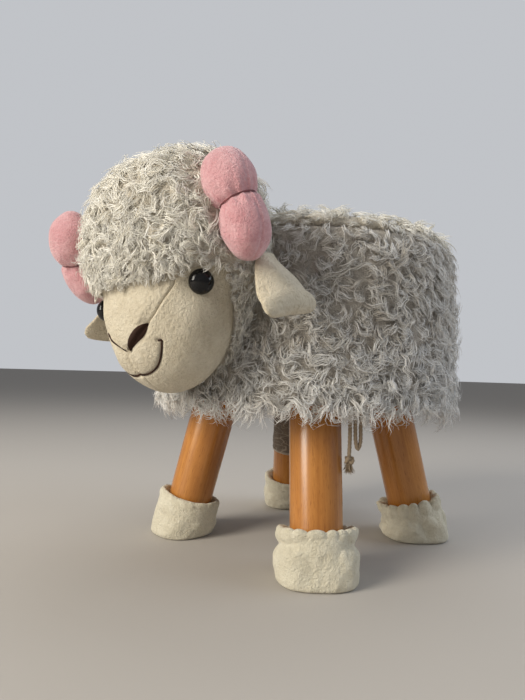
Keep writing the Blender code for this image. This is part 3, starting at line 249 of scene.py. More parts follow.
# Each finish: its slot, group, height of relief in metres, roughness unless the group gives it, the group's values,
# the shader's own sockets, and an attribute that gives its place
looks = {
    # the wool comes in two copies of one plush: the shaded ones, darker, on the drum's side and hem are painted shade,
    # and the lit ones, paler and warmer, on the cap and the drum's top are painted light
    "woolCurls": ("wool_pile", "curl", 0.0002, 0.5,
                  {"Root": (0.62, 0.56, 0.48), "Body": (0.94, 0.90, 0.825), "Tip": (0.985, 0.98, 0.965)},
                  {"Sheen Weight": 0.2, "Subsurface Weight": 0.35, "Subsurface Scale": 0.003,
                   "Subsurface Radius": (1.0, 0.9, 0.8)}),
    "capCurls": ("wool_pile", "curl", 0.0002, 0.5,
                 {"Root": (0.96, 0.87, 0.70), "Body": (0.99, 0.95, 0.83), "Tip": (0.99, 0.97, 0.915)},
                 {"Sheen Weight": 0.2}),
    "shadedWoolBacking": ("wool_pile", "nap", 0.0020, None,
                    {"Lit": (0.80, 0.75, 0.67), "Deep": (0.48, 0.43, 0.37), "Grain": 620.0, "Patch": 160.0}, {}),
    "litWoolBacking": ("wool_pile", "nap", 0.0030, None,
                   {"Lit": (0.94, 0.885, 0.78), "Deep": (0.76, 0.68, 0.55), "Grain": 620.0, "Patch": 160.0}, {}),
    "creamVelour": ("cream_velour", "nap", 0.0018, None,
                    {"Lit": (0.84, 0.77, 0.62), "Deep": (0.60, 0.52, 0.38), "Grain": 330.0, "Patch": 60.0,
                     "Crush": 0.30},
                    {"Sheen Weight": 0.25, "Sheen Roughness": 0.5, "Sheen Tint": (1.0, 0.96, 0.86, 1.0)}),
    "pinkVelour": ("pink_velour", "nap", 0.0013, None,
                   {"Lit": (0.96, 0.585, 0.61), "Deep": (0.68, 0.29, 0.32), "Grain": 470.0, "Patch": 90.0,
                    "Crush": 0.4},
                   {"Sheen Weight": 0.9, "Sheen Roughness": 0.4, "Sheen Tint": (1.0, 0.88, 0.90, 1.0)}),
    "bootieFleece": ("bootie_fleece", "nap", 0.0015, None,
                     {"Lit": (0.83, 0.78, 0.63), "Deep": (0.66, 0.60, 0.45), "Grain": 430.0, "Patch": 90.0,
                      "Crush": 0.5}, {"Sheen Weight": 0.2}),
    "beech": ("beech", "wood", 0.00022, None, {"Light": (0.61, 0.275, 0.064), "Dark": (0.37, 0.132, 0.022)},
              {"Specular IOR Level": 0.15, "Coat Weight": 0.9, "Coat Roughness": 0.23}, "pieceSpace"),
    "plywood": (None, "wood", 0.0001, None, {"Light": (0.66, 0.50, 0.32), "Dark": (0.50, 0.35, 0.20)}, {}),
    "seatFoam": ("seat_foam", "speck", 0.0006, None,
                 {"Lit": (0.80, 0.74, 0.50), "Deep": (0.60, 0.52, 0.28), "Cells": 700.0}, {}),
    "fibreFilling": ("fibre_filling", "nap", 0.001, None,
                     {"Lit": (0.88, 0.88, 0.86), "Deep": (0.70, 0.70, 0.68), "Grain": 500.0}, {}),
    "eyeBlack": ("eye_black", "speck", 0.0, 0.06,
                 {"Lit": (0.014, 0.013, 0.013), "Deep": (0.006, 0.006, 0.007), "Cells": 900.0, "Pits": 0.1},
                 {"Specular IOR Level": 0.3}),
    "washerPlastic": (None, "speck", 0.0, None, {"Lit": (0.82, 0.82, 0.79), "Deep": (0.66, 0.66, 0.63)}, {}),
    "faceThread": ("nose_stitching", "ply", 0.0002, 0.75,
                   {"Lit": (0.062, 0.028, 0.016), "Deep": (0.016, 0.007, 0.005), "Turns": 60.0, "Plies": 2.0},
                   {"Specular IOR Level": 0.2}),
    "cinchThread": ("cinch_thread", "ply", 0.0002, 0.7,
                    {"Lit": (0.26, 0.075, 0.08), "Deep": (0.09, 0.02, 0.025), "Turns": 60.0, "Plies": 2.0}, {}),
    "cuffElastic": (None, "speck", 0.0003, None,
                    {"Lit": (0.76, 0.72, 0.62), "Deep": (0.56, 0.51, 0.41), "Cells": 1200.0}, {}),
    "zincSteel": (None, "speck", 0.00005, None,
                  {"Lit": (0.70, 0.70, 0.68), "Deep": (0.48, 0.48, 0.47), "Cells": 260.0}, {"Metallic": 1.0}),
    "greySleeve": ("grey_sleeve", "crinkle", 0.0004, None,
                   {"Lit": (0.20, 0.155, 0.115), "Deep": (0.09, 0.068, 0.050), "Crease": (0.46, 0.39, 0.31)},
                   {"Specular IOR Level": 0.3}),
    "beigeCord": ("beige_cord", "ply", 0.0002, 0.85,
                  {"Lit": (0.44, 0.34, 0.23), "Deep": (0.19, 0.13, 0.08), "Turns": 0.0, "Plies": 0.0},
                  {"Sheen Weight": 0.15}),
}
finishes = {}


def makeFinish(name, slot, kind, bump, rough, values, sockets, attribute=None):
    material = bpy.data.materials.new(name)
    material.use_nodes = True
    nodes = material.node_tree.nodes
    shader, node = nodes["Principled BSDF"], nodes.new("ShaderNodeGroup")
    node.node_tree = groups[kind]
    for label, value in sockets.items():
        shader.inputs[label].default_value = value
    for label, value in values.items():
        feed(node.inputs[label], value)
    if "Place" in node.inputs:
        source = nodes.new("ShaderNodeAttribute" if attribute else "ShaderNodeTexCoord")
        if attribute:
            source.attribute_name = attribute
        feed(node.inputs["Place"], source.outputs["Vector" if attribute else "Object"])
    if "Along" in node.inputs:
        layer, parts = nodes.new("ShaderNodeUVMap"), nodes.new("ShaderNodeSeparateXYZ")
        layer.uv_map = "OFBake" if kind == "curl" else "alongRound"
        feed(parts.inputs[0], layer.outputs["UV"])
        feed(node.inputs["Along"], parts.outputs["Y"])
        if kind != "crinkle":
            feed(node.inputs["Tone" if kind == "curl" else "Round"], parts.outputs["X"])
    feed(shader.inputs["Base Color"], node.outputs["Color"])
    feed(shader.inputs["Roughness"], node.outputs["Rough"] if rough is None else rough)
    if bump:
        relief = nodes.new("ShaderNodeBump")
        relief.inputs["Distance"].default_value = bump
        feed(relief.inputs["Height"], node.outputs["Height"])
        feed(shader.inputs["Normal"], relief.outputs["Normal"])
    finishes[name] = material


for finishName, finishLook in looks.items():
    makeFinish(finishName, *finishLook)
print("finishes made")


def unit(vectors):
    return vectors / np.maximum(np.linalg.norm(vectors, axis=-1, keepdims=True), 1e-12)


# Smooth noise from -1 to 1: the mean of eight sine waves about `size` long in fixed random directions
def lumps(points, size, seed):
    draw = np.random.default_rng(seed)
    ways = unit(draw.normal(size=(8, 3)))
    pitch = fullTurn / (size * draw.uniform(0.7, 1.5, 8))
    return np.sin(np.asarray(points) @ (ways.T * pitch) + draw.uniform(0.0, fullTurn, 8)).mean(-1) * 1.8


# Equal angles round a circle
def turns(count):
    return np.arange(count) * (fullTurn / count)


# Shares from 0 to 1, closer together near both ends
def easedShares(count):
    return 0.5 - 0.5 * np.cos(np.linspace(0.0, math.pi, count))


# From 0 at the start to 1 a span further on, straight or eased at both ends
def ramp(x, start, span):
    return np.clip((x - start) / span, 0.0, 1.0)


def smooth(x):
    return x * x * (3.0 - 2.0 * x)


def bell(distance, width):
    return np.exp(-(distance / width) ** 2)


# Points from radius, angle and height round an upright axis
def roundAxis(radius, turn, height, middle=0.0):
    return np.stack(np.broadcast_arrays(radius * np.cos(turn), radius * np.sin(turn) + middle, height), axis=-1)


# Directions round rings, from the two side vectors at each place
def ringWays(first, second, turn):
    return np.cos(turn)[:, None] * first[..., None, :] + np.sin(turn)[:, None] * second[..., None, :]


# Quads between neighbouring rows of a grid of points
def gridFaces(rows, cols, wrapCols=True, wrapRows=False, base=0):
    a, i = np.meshgrid(np.arange(rows if wrapRows else rows - 1), np.arange(cols if wrapCols else cols - 1),
                       indexing="ij")
    b, j = (a + 1) % rows, (i + 1) % cols
    return (base + np.stack([a * cols + i, a * cols + j, b * cols + j, b * cols + i], axis=-1)).reshape(-1, 4)


# Triangles from the first and last of stacked rings to two tips that follow them
def fanFaces(rows, cols):
    i = np.arange(cols)
    j, n = (i + 1) % cols, rows * cols
    fans = (n + 0 * i, j, i), (n + 1 + 0 * i, n - cols + i, n - cols + j)
    return np.vstack([np.stack(fan, axis=1) for fan in fans])


# Many equal strands at once from rings[strand, row, side], each closed on the two tips that follow its rings
def strandPoints(rings, firstTip, lastTip):
    return np.concatenate([rings.reshape(len(rings), -1, 3), firstTip[:, None], lastTip[:, None]], axis=1)


def strandFaces(count, rows, sides):
    shift = (np.arange(count) * (rows * sides + 2))[:, None, None]
    return [(gridFaces(rows, sides) + shift).reshape(-1, 4), (fanFaces(rows, sides) + shift).reshape(-1, 3)]


# Points and faces of stacked rings, each end drawn to a point
def closedRings(rings, firstTip=None, lastTip=None):
    rows, cols = rings.shape[:2]
    tips = [rings[0].mean(0) if firstTip is None else firstTip, rings[-1].mean(0) if lastTip is None else lastTip]
    return np.vstack([rings.reshape(-1, 3), tips]), [gridFaces(rows, cols), fanFaces(rows, cols)]


# Faces of a shell: an outer grid, an inner one that follows it, and their four rims
def shellFaces(rows, cols):
    n, a, i = rows * cols, np.arange(rows - 1) * cols, np.arange(cols - 1)
    b, j = a + cols - 1, i + n - cols
    rims = [(i, n + i, n + i + 1, i + 1), (j, j + 1, n + j + 1, n + j),
            (a, a + cols, n + a + cols, n + a), (b, n + b, n + b + cols, b + cols)]
    return np.vstack([gridFaces(rows, cols, False), gridFaces(rows, cols, False, False, n)[:, ::-1]]
                     + [np.stack(rim, axis=1) for rim in rims])


def placed(points, matrix):
    turn = np.array(matrix)
    return np.asarray(points) @ turn[:3, :3].T + turn[:3, 3]


# A mesh from points and faces, turned outwards if the volume that the faces close comes out negative
def addPiece(name, points, faces, finish, replaces=(), body="stool", space=None, uv=None,
             uvName="alongRound"):
    points = np.asarray(points, float).reshape(-1, 3)
    middle = points.mean(0)
    volume = sum(((points[f[:, 0]] - middle) * np.cross(points[f[:, k]] - middle, points[f[:, k + 1]] - middle)).sum()
                 for f in faces for k in range(1, f.shape[1] - 1))
    if volume < 0.0:
        faces = [f[:, ::-1] for f in faces]
    corners = np.concatenate([f.ravel() for f in faces])
    counts = np.concatenate([np.full(len(f), f.shape[1]) for f in faces])
    mesh = bpy.data.meshes.new(name)
    mesh.vertices.add(len(points))
    mesh.vertices.foreach_set("co", points.astype(np.float32).ravel())
    mesh.loops.add(len(corners))
    mesh.loops.foreach_set("vertex_index", corners.astype(np.int32))
    mesh.polygons.add(len(counts))
    mesh.polygons.foreach_set("loop_start", (np.cumsum(counts) - counts).astype(np.int32))
    mesh.update(calc_edges=True)
    mesh.shade_smooth()
    if uv is not None:
        layer = mesh.uv_layers.new(name=uvName)
        layer.data.foreach_set("uv", np.asarray(uv)[corners].astype(np.float32).ravel())
    if space is not None:
        layer = mesh.attributes.new("pieceSpace", "FLOAT_VECTOR", "POINT")
        layer.data.foreach_set("vector", np.asarray(space).astype(np.float32).ravel())
    mesh.materials.append(finishes[finish])
    piece = addObject(name, mesh)
    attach(piece, body)
    if replaces:
        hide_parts(*replaces)
    return piece


# Cubic through table points, its slopes taken from their neighbours
def eased(x, xs, ys):
    xs, ys = np.asarray(xs, float), np.asarray(ys, float)
    slope = np.gradient(ys, xs)
    x = np.clip(x, xs[0], xs[-1])
    k = np.clip(np.searchsorted(xs, x) - 1, 0, len(xs) - 2)
    h = xs[k + 1] - xs[k]
    t = (x - xs[k]) / h
    return ((2 * t ** 3 - 3 * t ** 2 + 1) * ys[k] + (t ** 3 - 2 * t ** 2 + t) * h * slope[k]
            + (3 * t ** 2 - 2 * t ** 3) * ys[k + 1] + (t ** 3 - t ** 2) * h * slope[k + 1])


# Distance along a line of places to each of them
def runAlong(path):
    return np.concatenate([[0.0], np.cumsum(np.linalg.norm(np.diff(path, axis=0), axis=1))])


# Evenly spaced points along a Catmull-Rom curve through the places
def smoothPath(places, count):
    points = np.asarray(places, float)
    ends = np.vstack([2 * points[0] - points[1], points, 2 * points[-1] - points[-2]])
    t = np.linspace(0.0, 1.0, 24, endpoint=False)[:, None]
    fine = [0.5 * (2 * ends[k + 1] + (ends[k + 2] - ends[k]) * t
                   + (2 * ends[k] - 5 * ends[k + 1] + 4 * ends[k + 2] - ends[k + 3]) * t ** 2
                   + (3 * ends[k + 1] - ends[k] - 3 * ends[k + 2] + ends[k + 3]) * t ** 3)
            for k in range(len(points) - 1)]
    fine = np.vstack(fine + [points[-1:]])
    run = runAlong(fine)
    want = np.linspace(0.0, run[-1], count)
    return np.stack([np.interp(want, run, fine[:, k]) for k in range(3)], axis=1)


# Smallest distance from each point to a line of places, and which place it is
def nearest(points, line):
    best, which = np.full(points.shape[:-1], 9.0), np.zeros(points.shape[:-1], int)
    for k, place in enumerate(line):
        far = np.linalg.norm(points - place, axis=-1)
        which = np.where(far < best, k, which)
        best = np.minimum(best, far)
    return best, which


# A twisted cord: a ring of `sides` points round each place, its radius rippled by plies that wind along it
def cordMesh(path, radius, sides, plies, pitch, depth, closed=False):
    steps = np.roll(path, -1, axis=0) - np.roll(path, 1, axis=0) if closed else np.gradient(path, axis=0)
    tangent = unit(steps)
    side = np.cross(tangent[0], (0.31, 0.22, 0.92))
    first = np.empty_like(path)
    for k in range(len(path)):  # each ring starts where the one before it started, so the cord isn't wrung
        side = side - tangent[k] * (side @ tangent[k])
        side = side / np.linalg.norm(side)
        first[k] = side
    second = np.cross(tangent, first)
    run, turn = runAlong(path), turns(sides)
    swell = 1.0 - depth * (0.5 - 0.5 * np.cos(plies * (turn - fullTurn * run[:, None] / pitch)))
    rings = path[:, None] + radius * swell[..., None] * ringWays(first, second, turn)
    uv = np.stack(np.broadcast_arrays(0.25 * (swell - 1.0 + depth) / depth, run[:, None]), axis=-1)
    if closed:
        return rings.reshape(-1, 3), [gridFaces(len(path), sides, True, True)], uv.reshape(-1, 2)
    return *closedRings(rings), np.vstack([uv.reshape(-1, 2), uv[0, :1], uv[-1, :1]])


# Drum sizes, as in the part's own source
drum = {
    "clearance": 0.174, "boardRadius": 0.138, "foam": 0.0105,
    "padEdge": 0.0135, "padCrown": 0.0105, "padShoulder": 0.017, "pile": 0.0125, "skirtDrop": 0.0165,
    "skirtTuck": 0.0055, "seamShare": 0.975, "seamDepth": 0.0034, "gap": 0.0003, "steps": 160, "pileSink": 0.0012,
    "lumpSize": 0.018, "lumpHeight": 0.0009, "foamSteps": 96, "foamEdge": 0.0012,
}
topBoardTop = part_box("top_board")[1].z
foamOuter = drum["boardRadius"] + drum["gap"] + drum["foam"]
coverInner = foamOuter + drum["gap"]
coverOuter = coverInner + drum["pile"]
padFoot = topBoardTop + drum["gap"]
skirtFoot = drum["clearance"] - drum["skirtDrop"]


# Half outline (radius, height) of the crowned pad from its middle to its side, moved out by grow
def padOutline(grow, flatCount=26, bendCount=14):
    shoulder, flat = drum["padShoulder"], foamOuter - drum["padShoulder"]
    r = np.linspace(0.0, flat, flatCount)
    drop = drum["padCrown"] * (r / foamOuter) ** 2.2
    tilt = np.arctan(2.2 * drum["padCrown"] / foamOuter * (r / foamOuter) ** 1.2)
    top = padFoot + drum["padEdge"] + drum["padCrown"] - drop
    crown = np.stack([r + grow * np.sin(tilt), top + grow * np.cos(tilt)], axis=1)
    turn = tilt[-1] + (math.pi / 2.0 - tilt[-1]) * np.arange(1, bendCount + 1) / bendCount
    bend = np.stack([flat + (shoulder + grow) * np.sin(turn), top[-1] - shoulder + (shoulder + grow) * np.cos(turn)],
                    axis=1)
    return np.vstack([crown, bend])


# An outline turned about the drum's axis, and its outward normals
def turnedRings(outline, steps):
    outline = np.asarray(outline)
    return roundAxis(outline[:, :1], turns(steps), outline[:, 1:], axisY)


def outlineNormal(outline):
    way = unit(np.gradient(outline, axis=0))
    return np.stack([-way[:, 1], way[:, 0]], axis=1)


# Skin of the drum from the middle of its top over the shoulder and down to the skirt's foot
crest = padOutline(drum["gap"] + drum["pile"])
crestTop = crest[0, 1]
sideHeights = np.linspace(crest[-1, 1] - 0.004, skirtFoot + drum["skirtTuck"] * 0.5, 24)
sideShare = (crest[-1, 1] - sideHeights) / (crest[-1, 1] - skirtFoot)
sideLine = np.stack([coverOuter + drum["pile"] * 0.10 * np.sin(math.pi * sideShare), sideHeights], axis=1)
underLine = np.array([(coverOuter - drum["skirtTuck"] * 0.35, skirtFoot + drum["skirtTuck"] * 0.18),
                      (coverOuter - drum["skirtTuck"], skirtFoot)])
drumSkin = np.vstack([crest, sideLine, underLine])
seamRow = int(np.argmax((drumSkin[:, 0] > coverOuter * drum["seamShare"]) & (drumSkin[:, 1] < crestTop)))


# Cover backing: the skin, a little lumpy, sunk into a valley at the seam where it is cut in two; the top in the lit
# wool copy (painted light), the side in the shaded copy (painted shade)
def drumBacking():
    innerRadius = coverInner + drum["gap"]
    inner = np.vstack([padOutline(drum["gap"] * 2.0), [(innerRadius, h) for h in sideHeights],
                       [(innerRadius, skirtFoot + 0.001), (innerRadius, skirtFoot + 0.0005)]])
    outer = turnedRings(drumSkin, drum["steps"])
    fromSeam = np.abs(np.arange(len(drumSkin)) - seamRow + 0.5)[:, None]
    lift = lumps(outer, drum["lumpSize"], 3) * drum["lumpHeight"] - drum["pileSink"]
    lift = lift - drum["seamDepth"] * bell(fromSeam, 0.9)
    normal = turnedRings(drumSkin + outlineNormal(drumSkin), drum["steps"]) - outer
    outer = outer + normal * lift[..., None]
    inside = turnedRings(inner, drum["steps"])
    points, faces = closedRings(np.concatenate([outer[1:seamRow], inside[1:seamRow][::-1]]),
                                (0.0, axisY, outer[0, 0, 2]), (0.0, axisY, inside[0, 0, 2]))
    addPiece("seatTopCover", points, faces, "litWoolBacking", ["cover_top"])
    points = np.concatenate([outer[seamRow:], inside[seamRow:][::-1]])
    addPiece("seatSideCover", points, [gridFaces(len(points), drum["steps"], True, True)], "shadedWoolBacking",
             ["cover_side"])


# Foam pad under the same outline, a little lumpy on top, and the foam wrap: a tube with its edges cut off
def foamPieces():
    outline = padOutline(0.0)
    steps, edge = drum["foamSteps"], drum["foamEdge"]
    rings = turnedRings(np.vstack([outline[1:], [(foamOuter, padFoot + 0.0015), (foamOuter - 0.0015, padFoot)]]), steps)
    rings[..., 2] += lumps(rings, 0.03, 5) * 0.0002 * (rings[..., 2] > padFoot + 0.01)
    points, faces = closedRings(rings, (0.0, axisY, outline[0, 1]), (0.0, axisY, padFoot))
    addPiece("seatPadFoam", points, faces, "seatFoam", ["seat_pad"])
    low, high, inner = drum["clearance"], topBoardTop, drum["boardRadius"] + drum["gap"]
    wrap = [(inner, low + edge), (inner + edge, low), (foamOuter - edge, low), (foamOuter, low + edge),
            (foamOuter, (low + high) / 2.0), (foamOuter, high - edge), (foamOuter - edge, high),
            (inner + edge, high), (inner, high - edge), (inner, (low + high) / 2.0)]
    addPiece("sideFoamWrap", turnedRings(wrap, steps), [gridFaces(len(wrap), steps, True, True)], "seatFoam",
             ["side_foam"])


drumBacking()
foamPieces()
print("drum made")

# Head sizes, as in the part's own source; places are shares of half the head's height
head = {
    "reach": 0.0593, "rise": 0.0765, "aside": 0.0015, "turn": 3.0, "tilt": 5.0, "half": 0.100,
    "skullRadii": (0.0837, 0.0679, 0.0400, 0.0707), "skullBack": 0.0385, "skullUp": 0.0509, "skullSquare": 2.5,
    "muzzleRadii": (0.0628, 0.0503, 0.0692), "muzzleBack": 0.0225, "muzzleDown": 0.0162, "blend": 8.0,
    "core": (0.0, 0.30, -0.05), "nose": (0.0, -0.22, -0.50),
    "border": ((0.0, -0.289, 0.064), (0.31, -0.241, 0.077), (0.57, -0.10, 0.095), (0.68, 0.04, 0.14),
               (0.76, 0.20, 0.13), (0.74, 0.30, 0.03), (0.66, 0.38, -0.15), (0.58, 0.44, -0.32), (0.48, 0.50, -0.48),
               (0.36, 0.55, -0.64), (0.20, 0.58, -0.74), (0.0, 0.58, -0.78)),
    "seam": ((0.31, -0.22, -0.253), (0.375, -0.199, -0.163), (0.468, -0.152, -0.035), (0.546, -0.113, 0.078)),
    "capPile": 0.0090, "capSink": 0.0018, "capEdge": 0.0026, "capLumpSize": 0.016,
    "capLumpHeight": 0.0008, "lining": 0.0048, "panel": 0.0018, "start": 2.2,
}
headMatrix = (Matrix.Translation((head["aside"], axisY - coverOuter - head["reach"], drum["clearance"] + head["rise"]))
              @ Euler((0.0, -rad(head["tilt"]), rad(head["turn"]))).to_matrix().to_4x4())
skullCentre = np.array([0.0, head["skullBack"], head["skullUp"]])
muzzleCentre = np.array([0.0, head["muzzleBack"], -head["muzzleDown"]])


# Head places from shares of half its height
def headPlace(shares):
    return head["half"] * np.array(shares)


headCore = headPlace(head["core"])


# Level of points against the head's skin: how far past it they are, on a ray from the skull's middle.
# The skin is a smooth join of a squarish skull and an egg-shaped muzzle
def skinLevel(points):
    wide, front, back, tall = head["skullRadii"]
    power, blend = head["skullSquare"], head["blend"]
    rel = points - skullCentre
    far = np.linalg.norm(rel, axis=-1)
    way = rel / np.maximum(far, 1e-9)[..., None]
    deep = np.where(way[..., 1] < 0.0, front, back)
    q = np.abs(way[..., 0] / wide) ** power + np.abs(way[..., 1] / deep) ** power + np.abs(way[..., 2] / tall) ** power
    skull = q ** (-1.0 / power)
    start = (skullCentre - muzzleCentre) / np.array(head["muzzleRadii"])
    step = way / np.array(head["muzzleRadii"])
    a, b, c = (step * step).sum(-1), (step * start).sum(-1), (start * start).sum() - 1.0
    root = b * b - a * c
    muzzle = np.where(root > 0.0, (-b + np.sqrt(np.maximum(root, 0.0))) / a, 0.0)
    muzzle = np.maximum(muzzle, tall * 0.01)
    return far - (skull ** blend + muzzle ** blend) ** (1.0 / blend)


# Slope of the level, from its values a little to each side
def skinNormal(points):
    nudge = head["half"] * 0.004 * np.eye(3)
    return unit(np.stack([skinLevel(points + nudge[k]) - skinLevel(points - nudge[k]) for k in range(3)], axis=-1))


# Skin point along each way, found by halving, then moved along its normal
def skinFrom(start, way, offset=0.0):
    low, high = np.zeros(way.shape[:-1]), np.full(way.shape[:-1], head["half"] * 2.5)
    for _ in range(40):
        mid = (low + high) / 2.0
        inside = skinLevel(start + way * mid[..., None]) < 0.0
        low, high = np.where(inside, mid, low), np.where(inside, high, mid)
    place = start + way * low[..., None]
    return place + skinNormal(place) * np.asarray(offset)[..., None]


# Skin point straight ahead of a place beside and above the head's middle
def skinFront(side, up):
    side, up = np.broadcast_arrays(np.asarray(side, float), np.asarray(up, float))
    start = np.stack([side, np.full(side.shape, headCore[1]), up], axis=-1)
    return skinFrom(start, np.broadcast_to((0.0, -1.0, 0.0), start.shape))


# The skin's own directions: an angle away from the nose, and one round it from upwards to the head's left
pole = unit(headPlace(head["nose"]) - headCore)
poleSide = np.array([1.0, 0.0, 0.0])
poleUp = np.cross(poleSide, pole)
poleUp = poleUp if poleUp[2] > 0.0 else -poleUp


def polarWay(away, around):
    away, around = np.broadcast_arrays(away, around)
    return (np.cos(away)[..., None] * pole + np.sin(away)[..., None]
            * (np.cos(around)[..., None] * poleUp + np.sin(around)[..., None] * poleSide))


def polarOf(shares):
    rel = unit(headPlace(shares) - headCore)
    return np.arccos(rel @ pole), np.arctan2(rel @ poleSide, rel @ poleUp)


borderAway, borderRound = polarOf(head["border"])
borderOrder = np.argsort(borderRound)
seamAway, seamRound = polarOf(head["seam"])


# How far from the nose the cap begins, and where each share of the way out the face's seam runs
def borderAt(around):
    folded = np.abs((np.asarray(around) + math.pi) % fullTurn - math.pi)
    return eased(folded, borderRound[borderOrder], borderAway[borderOrder])


def seamAt(share):
    return eased(share, np.concatenate([[0.0], seamAway / borderAt(seamRound), [1.0]]),
                 np.concatenate([[seamRound[0] * 0.96], seamRound, [seamRound[-1] * 1.02]]))


# Face: relief is the sum of valleys and swellings, each a bell curve of the distance to a line on the skin
face = {
    "middle": -0.04, "gusset": ((-0.305, 0.249), (-0.253, 0.310), (-0.163, 0.375), (-0.035, 0.468), (0.078, 0.546)),
    "noseLow": ((-0.010, -0.507), (0.050, -0.477), (0.118, -0.443), (0.170, -0.416), (0.213, -0.380),
                (0.239, -0.342), (0.249, -0.305)),
    "noseHigh": ((-0.010, -0.507), (0.013, -0.449), (0.045, -0.400), (0.088, -0.358), (0.139, -0.325),
                 (0.197, -0.304), (0.249, -0.305)),
    "smile": ((-0.04, -0.703), (0.038, -0.705), (0.113, -0.691), (0.197, -0.650), (0.259, -0.589), (0.299, -0.521),
              (0.318, -0.475), (0.326, -0.455), (0.318, -0.446), (0.300, -0.449)),
    "crease": ((-0.045, -0.515), (-0.058, -0.555), (-0.058, -0.600), (-0.050, -0.655), (-0.042, -0.700)),
    "leaf": 0.86, "farLeaf": 0.62, "lip": (0.130, -0.570), "lipSize": 0.0115, "lipSwell": 0.0024,
    "eye": 0.66, "eyeLift": (0.008, -0.045), "eyeOut": (0.0, 0.0040), "eyeRadius": 0.0105,
    "eyeDome": 0.0088, "seamDepth": 0.0011, "smileDepth": 0.0017, "noseDepth": 0.0020, "noseSwell": 0.0021,
    "chinDepth": 0.0009, "creaseDepth": 0.0017, "eyeDip": 0.0016, "rows": 96, "topCols": 60, "cheekCols": 90,
    "thread": 0.0009, "lumpHeight": 0.0005, "noseClimb": 0.0075, "satin": (0.0007, 0.00035),
    "eyeStem": ((0.0019, -0.012), (0.0024, -0.0108), (0.0024, -0.0030), (0.0070, -0.0026), (0.0096, -0.0018)),
}
faceMiddle = head["half"] * face["middle"]


# Head places at the front of the skin from a table of shares, and from the table mirrored in the face's middle
def faceLine(table, count, both=True):
    places = headPlace(table)
    if both:
        shared = table[0][0] == face["middle"]  # a first place on the middle isn't repeated
        mirrored = places[:0 if shared else None:-1] * (-1.0, 1.0) + (2.0 * faceMiddle, 0.0)
        places = np.vstack([mirrored, places])
    return smoothPath(skinFront(places[:, 0], places[:, 1]), count)


noseLine = faceLine(face["noseLow"], 150)
smileLine = faceLine(face["smile"], 150)
creaseLine = faceLine(face["crease"], 40, False)
lipSpots = [skinFront(head["half"] * (face["middle"] + s * (face["lip"][0] - face["middle"])),
                      head["half"] * face["lip"][1]) for s in (1.0, -1.0)]
seamSpread, chinSpread = np.linspace(0.05, 1.0, 120), np.linspace(0.30, 1.0, 90)
seamLines = [skinFrom(headCore, polarWay(borderAt(s * seamAt(seamSpread)) * seamSpread, s * seamAt(seamSpread)))
             for s in (1.0, -1.0)]
chinLine = skinFrom(headCore, polarWay(borderAt(math.pi) * chinSpread, math.pi))
eyeSpots = [skinFrom(headCore, unit(headPlace([s * face["eye"], 0.0, lift]) - headCore)[None])[0]
            for s, lift in zip((1.0, -1.0), face["eyeLift"])]


def faceRelief(skin):
    lift = lumps(skin, 0.034, 11) * face["lumpHeight"] + lumps(skin, 0.011, 12) * 0.0001
    for line in seamLines:
        far = nearest(skin, line)[0]
        lift += face["seamDepth"] * (0.55 * bell(far, 0.0070) - 1.35 * bell(far, 0.0011))
    far, which = nearest(skin, noseLine)
    above = ramp(skin[..., 2], noseLine[which][..., 2], 0.0015)
    climb = face["noseClimb"]
    plateau = smooth(ramp(far, 0.0, climb)) * bell(np.maximum(far - climb, 0.0), 0.014)
    edge = head["half"] * np.interp(skin[..., 2] / head["half"], *np.array(face["gusset"]).T)
    within = smooth(ramp(edge, np.abs(skin[..., 0] - faceMiddle / 2.0), 0.009))
    lift += face["noseSwell"] * above * plateau * within - face["noseDepth"] * bell(far, 0.0024)
    for spot in lipSpots:
        lift += face["lipSwell"] * bell(np.linalg.norm(skin - spot, axis=-1), face["lipSize"])
    lift -= face["smileDepth"] * bell(nearest(skin, smileLine)[0], 0.0018)
    lift -= face["creaseDepth"] * bell(nearest(skin, creaseLine)[0], 0.0020)
    far = nearest(skin, chinLine)[0]
    lift -= face["chinDepth"] * (bell(far, 0.0013) - 0.4 * bell(far, 0.006))
    for spot in eyeSpots:
        lift -= face["eyeDip"] * bell(np.linalg.norm(skin - spot, axis=-1), 0.0115)
    return lift


# A panel of the face: rows from the nose to the cap, columns between two seams, and a lining inside
def facePanel(name, startLine, endLine, cols, node):
    rows = face["rows"]
    share, even = np.linspace(0.0, 1.0, rows)[:, None], np.linspace(0.0, 1.0, cols)
    across = easedShares(cols) * 0.6 + even * 0.4
    low, high = startLine(share), endLine(share)
    spread = low + (high - low) * across
    away = rad(head["start"]) * (1.0 - share) + (borderAt(spread) + 0.004) * share
    spread = spread + drum["gap"] / 3.0 / (head["muzzleRadii"][0] * np.sin(away)) * (1.0 - 2.0 * across)
    ways = polarWay(away, spread)
    skin = skinFrom(headCore, ways)
    outer = skin + skinNormal(skin) * faceRelief(skin)[..., None]
    inner = skinFrom(headCore, ways, -head["panel"] - 0.0015)
    points = placed(np.concatenate([outer.reshape(-1, 3), inner.reshape(-1, 3)]), headMatrix)
    addPiece(name, points, [shellFaces(rows, cols)], "creamVelour", [node])


facePanel("muzzleTopPanel", lambda s: -seamAt(s), seamAt, face["topCols"], "muzzle_gusset")
facePanel("cheekPanelLeft", seamAt, lambda s: 0.0 * s + math.pi, face["cheekCols"], "cheek_left")
facePanel("cheekPanelRight", lambda s: 0.0 * s + math.pi, lambda s: fullTurn - seamAt(s), face["cheekCols"],
          "cheek_right")
print("face made")


# Points that would lie inside a drum of this radius, moved straight out to its side
def clearOfDrum(points, radius, top=9.0):
    outside = np.hypot(points[:, 0], points[:, 1] - axisY)
    scale = np.where((outside < radius) & (points[:, 2] < top), radius / np.maximum(outside, 1e-6), 1.0)
    return np.stack([points[:, 0] * scale, axisY + (points[:, 1] - axisY) * scale, points[:, 2]], axis=1)
